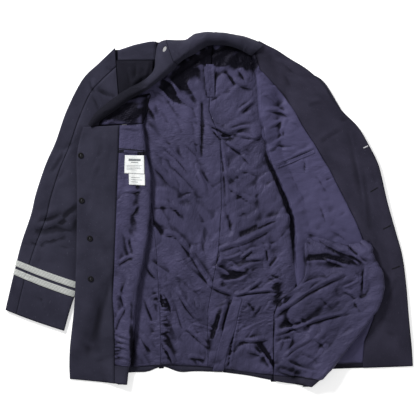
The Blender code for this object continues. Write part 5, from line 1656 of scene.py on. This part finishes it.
def make_backs(looks):
    def no_wrap_in_neck(s, t):
        return (t <= WRAP_FROM + ROUNDING) | (back_right(s, t)[:, 0] < OPEN_NECK_X)

    cloth("back_right", back_right, looks, keep=no_wrap_in_neck)
    cloth("back_left", level_panel(BACK_LEFT, FLOOR), looks)
    cloth("side_right", level_panel(SIDE_RIGHT, FLOOR, right_side_seam), looks)

    right_lining = back_lining(BACK_RIGHT, "right")

    def below_wrap(s, t):
        before = right_lining(s, t - ROW_SHARE)
        return (before[:, 1] < LINING_WRAP_TOP - WRAP_TOP_MARGIN) | (before[:, 0] > WRAP_TO_X)

    slack = back_slack()
    for name, flat, keep in (("lining_back_right", right_lining, below_wrap),
                             ("lining_back_left", back_lining(BACK_LEFT, "left"), None),
                             ("lining_side_right", back_lining(SIDE_RIGHT, "none"), None)):
        cloth(name, raised(flat, slack, HELD["back"]), looks, shade=pool_shade, keep=keep)
    vent = level_panel(VENT, LINING_TOP + GAP + SATIN / 2)
    cloth("lining_vent", raised(vent, vent_slack(), HELD["vent"]), looks, shade=pool_shade)


def front_right_lining():
    """The right front's lining as it lies on the cloth, without creases."""
    hem = FRONT_RIGHT_HEM / FRONT_RIGHT_LONG
    return between(RIGHT_FRONT, FRONT_RIGHT_PANEL.seam(FACING_RIGHT_SEAM), at(1), hem)


def front_left_lining():
    """The left front's lining as it lies on the cloth, without creases."""
    hem = FRONT_LEFT_HEM / FRONT_LEFT_LONG
    return between(LEFT_FRONT, at(0), FRONT_LEFT_PANEL.seam(FACING_LEFT_SEAM), hem)


def make_front_right(looks):
    seam = FRONT_RIGHT_PANEL.seam(FACING_RIGHT_SEAM)
    seam_gap = FRONT_SEAM_GAP / FRONT_RIGHT_WIDE * FLAT_SHARE
    cloth("front_right", RIGHT_FRONT, looks)
    facing = between(RIGHT_FRONT, at(0), lambda t: seam(t) - seam_gap)
    facing = creased(facing, HELD["facing_right"], FACING_LIFT, drawn(FACING_RIGHT_CREASES))
    cloth("facing_right", facing, looks)
    lining = creased(front_right_lining(), HELD["front"], SATIN_LIFT, drawn(FRONT_RIGHT_CREASES),
                     crumpled(FRONT_RIGHT_CRUMPLE), *(puckers(row) for row in FRONT_RIGHT_PUCKERS))
    cloth("lining_front_right", lining, looks, shade=pool_shade)
    shoulder = creased(shoulder_right, HELD["shoulder"], 0.0, drawn(SHOULDER_CREASES))
    cloth("front_right_shoulder", shoulder, looks)
    armhole = creased(armhole_right, HELD["armhole"], 0.0, crumpled(ARMHOLE_CRUMPLE))
    cloth("lining_armhole_right", armhole, looks, shade=lambda x, y: ARMHOLE_SHADE + pool_shade(x, y))


def make_front_left(looks):
    seam = FRONT_LEFT_PANEL.seam(FACING_LEFT_SEAM)
    seam_gap = FRONT_SEAM_GAP / FRONT_LEFT_WIDE * FLAT_SHARE
    cloth("front_left", LEFT_FRONT, looks)
    facing = between(LEFT_FRONT, lambda t: seam(t) + seam_gap, at(1))
    facing = creased(facing, HELD["facing_left"], FACING_LIFT, drawn(FACING_LEFT_CREASES))
    cloth("facing_left", facing, looks, shade=pool_shade)
    hand, crumple = drawn(FRONT_LEFT_CREASES), crumpled(FRONT_LEFT_CRUMPLE)

    def slack(x, y):
        open_lining = smoothstep(off_billow(x, y) / BILLOW_FREE_REACH)
        return (HELD["front"].slack + hand(x, y) + crumple(x, y)) * open_lining

    cloth("lining_front_left", raised(front_left_lining(), slack, HELD["front"], SATIN_LIFT), looks,
          shade=pool_shade)


def off_billow(x, y):
    """Distance in plan from the side panel that lies on the left front, 0 under it."""
    rows = along(BILLOW, np.linspace(0, 1, RUN_POINTS))
    right = np.interp(y, rows.y_right, rows.x_right)
    return np.maximum(np.maximum(x - right - BILLOW_BESIDE, y - BILLOW_TOP_Y), 0)


def make_side_left(looks):
    hem = BILLOW_HEM / BILLOW_LONG
    cloth("side_left", matched_rows(LEFT_SIDE, hem, BILLOW_NET[1]), looks)
    lining = tailed(between(LEFT_SIDE, at(0), at(1), hem))
    cloth("lining_side_left", creased(lining, HELD["side"], SATIN_LIFT + GAP, drawn(BILLOW_CREASES),
                                      crumpled(BILLOW_CRUMPLE)), looks, shade=pool_shade)


def tailed(place):
    """The side lining run on past its upper edge and down into the front's lining."""
    def piece(s, t):
        run = t * (1 + TAIL_SHARE)
        past = np.clip((run - 1) / TAIL_SHARE, 0, 1)
        points = place(s, np.minimum(run, 1))
        points[:, 1] += TAIL_LONG * past
        points[:, 2] += (TAIL_END_HEIGHT - points[:, 2]) * smoothstep(past)
        return points
    return piece


def lapel_shade(x, y):
    return LAPEL_SHADE * smoothstep((LAPEL_SHADE_FROM_X - x) / LAPEL_SHADE_REACH)


def make_collar(looks):
    rumpled = added(scattered(COLLAR_STREWN), crumpled(COLLAR_CRUMPLE))
    hole = (NOTCH_X, NOTCH_Y, NOTCH_WIDE, NOTCH_HIGH, NOTCH_LEAN)
    cloth("lapel_right", creased(roll(LAPEL_ROLL), HELD["collar"], 0.0, rumpled), looks,
          across=ROLL_COLUMNS, shade=lapel_shade, hole=hole)
    cloth("top_collar", creased(roll(COLLAR_ROLL), HELD["collar"], 0.0, rumpled), looks,
          across=ROLL_COLUMNS, hole=hole)
    under = between(roll(COLLAR_ROLL), at(UNDER_COLLAR_FROM), at(UNDER_COLLAR_TO),
                    lift=-CLOTH - PLY_GAP - GAP)
    cloth("under_collar", under, looks, hole=hole)

    def under_seam(s, t):
        before = roll(LAPEL_ROLL)(s, 1 - SEAM_SHARE + 0 * t)
        after = roll(COLLAR_ROLL)(s, SEAM_SHARE + 0 * t)
        points = before + (after - before) * t[:, None]
        points[:, 2] = np.maximum(points[:, 2] - UNDER_ROLL, LOWEST_STRIP)
        return points

    extra_strip("allowance_roll", under_seam, looks)


def puffed(tube, *sources):
    """A sleeve whose upper side stands up in its creases, beside the front that lies on it."""
    def place(s, t):
        points = tube(s, t)
        x, y = points[:, 0], points[:, 1]
        upper = smoothstep(np.sin(math.tau * s) / SLEEVE_PUFF_ROUND)
        free = smoothstep((FRONT_RIGHT_PANEL.left_edge(y) - x - CLEAR_OF_FRONT) / CLEAR_REACH)
        puff = sum((source(x, y) for source in sources), SLEEVE_PUFF)
        points[:, 2] += np.maximum(puff, 0) * upper * free * smoothstep(t * CUFF_HOLD)
        return points
    return place


def make_sleeves(looks):
    sources = (drawn(SLEEVE_CREASES), scattered(SLEEVE_STREWN))
    for side, table, stations in (("right", SLEEVE_RIGHT, ROUND_RIGHT),
                                  ("left", SLEEVE_LEFT, ROUND_LEFT)):
        tube = puffed(sleeve(table), *sources)
        upper = sleeve_piece(tube, stations, 0, UPPER_COLUMNS)
        cloth(f"sleeve_{side}_top", upper, looks, across=SLEEVE_FINE, shade=pool_shade)
        under = sleeve_piece(tube, stations, UPPER_COLUMNS, SLEEVE_COLUMNS)
        cloth(f"sleeve_{side}_under", under, looks, across=SLEEVE_FINE)
        t = np.linspace(0, 1, SLEEVE_LINES)
        lines = along(table, t)
        steps = np.hypot(np.diff(lines.x_out + lines.x_in), np.diff(lines.y_out + lines.y_in)) / 2
        run = np.concatenate([[0], np.cumsum(steps)])
        for name, distance in BRAIDS:
            ends = np.interp((distance, distance + BRAID_WIDTH), run, t)
            cloth(f"braid_{side}_{name}", braid_round(tube, stations, *ends), looks, ring=True,
                  across=BRAID_FINE)


def braid_round(tube, stations, t_from, t_to):
    """A braid sewn round a sleeve."""
    lift = CLOTH / 2 + PLY_GAP + BRAID / 2

    def place(s, t):
        s = column_of(stations, s * SLEEVE_COLUMNS % SLEEVE_COLUMNS)
        return lifted(tube, s, t_from + (t_to - t_from) * t, lift, step=BRAID_STEP)
    return place


def make_trim(looks):
    lining = creased(front_right_lining(), HELD["under_patch_right"], SATIN_LIFT,
                     drawn(FRONT_RIGHT_CREASES))
    seam = FRONT_RIGHT_PANEL.seam(FACING_RIGHT_SEAM)
    hem = FRONT_RIGHT_HEM / FRONT_RIGHT_LONG
    for name, patch, marks in (("welt_right", WELT_RIGHT, ()),
                               ("label_upper", LABEL_UPPER, UPPER_MARKS),
                               ("label_lower", LABEL_LOWER, LOWER_MARKS)):
        piece = patch_on(FRONT_RIGHT_PANEL, lining, seam, at(1), hem, patch)
        cloth(name, piece, looks, parts=label_marks(name, piece, marks, looks["mark"]))
    lining = creased(front_left_lining(), HELD["under_patch_left"], SATIN_LIFT,
                     drawn(FRONT_LEFT_CREASES))
    seam = FRONT_LEFT_PANEL.seam(FACING_LEFT_SEAM)
    hem = FRONT_LEFT_HEM / FRONT_LEFT_LONG
    cloth("welt_left", patch_on(FRONT_LEFT_PANEL, lining, at(0), seam, hem, WELT_LEFT), looks)


def patch_on(panel, lining, seam_from, seam_to, hem, patch):
    """A small rectangular piece on a front's lining, placed by its upper corners in plan."""
    def place(s, t):
        x = patch.x_left + (patch.x_right - patch.x_left) * s
        y = patch.y_left + (patch.y_right - patch.y_left) * s - patch.high * (1 - t)
        share, v = panel.share_of(x, y)
        first, last = seam_from(v), seam_to(v)
        points = lining((share - first) / (last - first), (v - hem) / (1 - hem))
        points[:, 2] += SATIN + PLY_GAP + PATCH_ROOM
        return points
    return place


def label_marks(name, label, marks, finish):
    """Generic woven bars where the label's text was."""
    bars = []
    for k, mark in enumerate(marks):
        def bar(s, t, mark=mark):
            points = label(mark.s_from + (mark.s_to - mark.s_from) * s,
                           mark.t_from + (mark.t_to - mark.t_from) * t)
            points[:, 2] += PAPER / 2 + MARK_CLEAR
            return points
        bars.append(loose(f"{name}_mark_{k + 1}", bar, MARK_CELL, MARK_THICK, finish))
    return bars


def repaint_buttons(looks):
    for k in range(len(BUTTON_PLACES)):
        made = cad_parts[f"button_{k + 1}"]
        for slot in made.material_slots:
            slot.material = looks["ring"].material


# -------- stitching and small parts

def dropped(x, y):
    """Whether the jacket lies at a place in plan, the point on its upper side, and the normal there."""
    graph = bpy.context.evaluated_depsgraph_get()
    above = Vector(in_world(x, y, DROP_FROM))
    return bpy.context.scene.ray_cast(graph, above, Vector((0, 0, -1)))[:3]


def add_thread(mesh, x, y, direction, long, thick):
    """One stitch: a slim rounded thread that lies on the cloth under it."""
    lies, point, normal = dropped(x, y)
    if not lies:
        return
    ahead = Vector((*direction, 0))
    ahead = (ahead - normal * ahead.dot(normal)).normalized()
    turned = Matrix((ahead, normal.cross(ahead), normal)).transposed().to_4x4()
    size = Matrix.Diagonal((long / 2 * MM, thick / 2 * MM, thick / 2 * MM, 1))
    bmesh.ops.create_uvsphere(mesh, u_segments=6, v_segments=4, radius=1.0,
                              matrix=Matrix.Translation(point) @ turned @ size)


def sew(sewn, lines, looks):
    """Rows of stitches along lines in plan."""
    mesh = bmesh.new()
    for line in lines:
        points = np.array(line, float)
        steps = np.hypot(*np.diff(points, axis=0).T)
        run = np.concatenate([[0], np.cumsum(steps)])
        for distance in np.arange(sewn.pitch / 2, run[-1], sewn.pitch):
            x, y = (np.interp(distance, run, points[:, k]) for k in (0, 1))
            k = min(np.searchsorted(run, distance), len(steps)) - 1
            add_thread(mesh, x, y, (points[k + 1] - points[k]) / steps[k], sewn.long, sewn.thick)
    new_object(sewn.name, mesh, looks[sewn.finish])


def patch_border(patch):
    left, right = patch.x_left + STITCH_INSET, patch.x_right - STITCH_INSET
    high = patch.high - STITCH_INSET
    return [(left, patch.y_left - STITCH_INSET), (right, patch.y_right - STITCH_INSET),
            (right, patch.y_right - high), (left, patch.y_left - high),
            (left, patch.y_left - STITCH_INSET)]


def heading(turn):
    return np.array([math.cos(math.radians(turn)), math.sin(math.radians(turn))])


def buttonhole(name, place, turn, long, thread, slit):
    """A worked buttonhole: close whip stitches round a slit."""
    ahead = heading(turn)
    side = np.array([-ahead[1], ahead[0]])
    middle = np.array([place.x, place.y], float)
    mesh = bmesh.new()
    for along_slit in np.arange(-long / 2, long / 2, HOLE_THREAD_PITCH):
        for edge in (-1, 1):
            x, y = middle + ahead * along_slit + side * edge * HOLE_EDGE
            add_thread(mesh, x, y, side, HOLE_THREAD_LONG, HOLE_THREAD_THICK)
    for end in (-1, 1):
        for fan in np.linspace(-HOLE_FAN, HOLE_FAN, HOLE_FAN_THREADS):
            away = heading(turn + fan) * end
            x, y = middle + ahead * end * long / 2 + away * HOLE_EDGE
            add_thread(mesh, x, y, away, HOLE_THREAD_LONG, HOLE_THREAD_THICK)
    new_object(name, mesh, thread)
    mesh = bmesh.new()
    for along_slit in np.arange(-long / 2 - HOLE_PAST, long / 2 + HOLE_PAST, SLIT_PITCH):
        add_thread(mesh, *(middle + ahead * along_slit), ahead, SLIT_LONG, SLIT_THICK)
    new_object(name + "_slit", mesh, slit)


def back_ring(name, place, looks):
    """The wire ring that holds a button's shank behind the cloth, and the shank's end in it."""
    point = dropped(place.x, place.y)[1]
    mesh = bmesh.new()
    wire = Matrix.Translation((RING_REACH * MM, 0, 0)) @ Matrix.Rotation(math.pi / 2, 4, "X")
    bmesh.ops.create_circle(mesh, segments=WIRE_SEGMENTS, radius=RING_WIRE * MM, matrix=wire)
    bmesh.ops.spin(mesh, geom=mesh.verts[:] + mesh.edges[:], axis=(0, 0, 1), cent=(0, 0, 0),
                   steps=RING_STEPS, angle=math.tau, use_merge=True)
    bmesh.ops.translate(mesh, vec=point, verts=mesh.verts)
    bmesh.ops.recalc_face_normals(mesh, faces=mesh.faces)
    new_object(name, mesh, looks["ring"])
    mesh = bmesh.new()
    size = Matrix.Diagonal((*(half * MM for half in SHANK_HALF), 1))
    bmesh.ops.create_uvsphere(mesh, u_segments=16, v_segments=8, radius=1.0,
                              matrix=Matrix.Translation(point) @ size)
    new_object(name + "_shank", mesh, looks["shank"])


def neck_patch(looks):
    """The smooth double strip at the back of the neck."""
    foot_x, foot_y = in_plan(*NECK_PATCH_FOOT)

    def strip(s, t):
        x = foot_x + NECK_PATCH_WIDE * s + NECK_PATCH_LEAN * (1 - t)
        y = foot_y + NECK_PATCH_LONG * t
        height = [dropped(*place)[1].z / MM for place in zip(x, y)]
        around = np.convolve(np.array(height), np.ones(NECK_PATCH_SMOOTH) / NECK_PATCH_SMOOTH, "same")
        return np.column_stack([x, y, np.maximum(around, NECK_PATCH_LOWEST) + NECK_PATCH_CLEAR])
    extra_strip("neck_patch", strip, looks)


def make_details(looks):
    sew(LABEL_STITCHES, [patch_border(LABEL_UPPER), patch_border(LABEL_LOWER)], looks)
    for sewn in STITCHING:
        sew(sewn, [[in_plan(*place) for place in line] for line in sewn.lines], looks)
    for k, (place, turn) in enumerate(BUTTONHOLES):
        on_lapel = k == 0
        long = LAPEL_HOLE_LONG if on_lapel else BUTTONHOLE_LONG
        thread = looks["pale_thread" if on_lapel else "thread"]
        slit = looks["pale_thread" if on_lapel else "ring"]
        buttonhole(f"buttonhole_{k + 1}", place, turn, long, thread, slit)
    for k, place in enumerate(BUTTON_PLACES):
        back_ring(f"back_ring_{k + 1}", place, looks)


# -------- setting

def studio():
    mesh = bmesh.new()
    bmesh.ops.create_grid(mesh, x_segments=1, y_segments=1, size=FLOOR_HALF)
    data = bpy.data.meshes.new("floor")
    mesh.to_mesh(data)
    mesh.free()
    floor = bpy.data.objects.new("floor", data)
    floor.location.z = -FLOOR_BELOW
    paper, _, shader = new_material("floor_paper", roughness=0.9)
    shader["Base Color"].default_value = (0.93, 0.93, 0.93, 1)
    shader["Specular IOR Level"].default_value = 0.1
    shader["Emission Color"].default_value = (1, 1, 1, 1)
    shader["Emission Strength"].default_value = PAPER_GLOW
    floor.data.materials.append(paper)
    bpy.context.scene.collection.objects.link(floor)

    for row in LAMPS:
        light = bpy.data.lights.new(row.name, "AREA")
        light.shape = "SQUARE"
        light.size = row.size
        light.energy = row.power
        lamp = bpy.data.objects.new(row.name, light)
        lamp.location = row.place
        lamp.rotation_euler = (-Vector(row.place)).to_track_quat("-Z", "Y").to_euler()
        bpy.context.scene.collection.objects.link(lamp)

    world = bpy.data.worlds.new("studio")
    bpy.context.scene.world = world
    world.use_nodes = True
    sky = world.node_tree.nodes["Background"].inputs
    sky["Color"].default_value = (1, 1, 1, 1)
    sky["Strength"].default_value = SKY
    bpy.context.scene.view_settings.view_transform = "Standard"


def camera():
    lens = bpy.data.cameras.new("above")
    lens.sensor_width = SENSOR
    lens.lens = SENSOR * CAMERA_HEIGHT / VIEW_WIDTH
    lens.clip_end = CAMERA_FAR
    eye = bpy.data.objects.new("above", lens)
    eye.location = ((VIEW_X - CENTRE_X) * MM, (VIEW_Y - CENTRE_Y) * MM, CAMERA_HEIGHT + CLOTH_MIDDLE)
    bpy.context.scene.collection.objects.link(eye)
    bpy.context.scene.camera = eye


def main():
    looks = finishes()
    make_allowances(looks)
    make_backs(looks)
    make_front_right(looks)
    make_front_left(looks)
    make_side_left(looks)
    make_collar(looks)
    make_sleeves(looks)
    make_trim(looks)
    repaint_buttons(looks)
    neck_patch(looks)
    make_details(looks)
    studio()
    camera()


main()
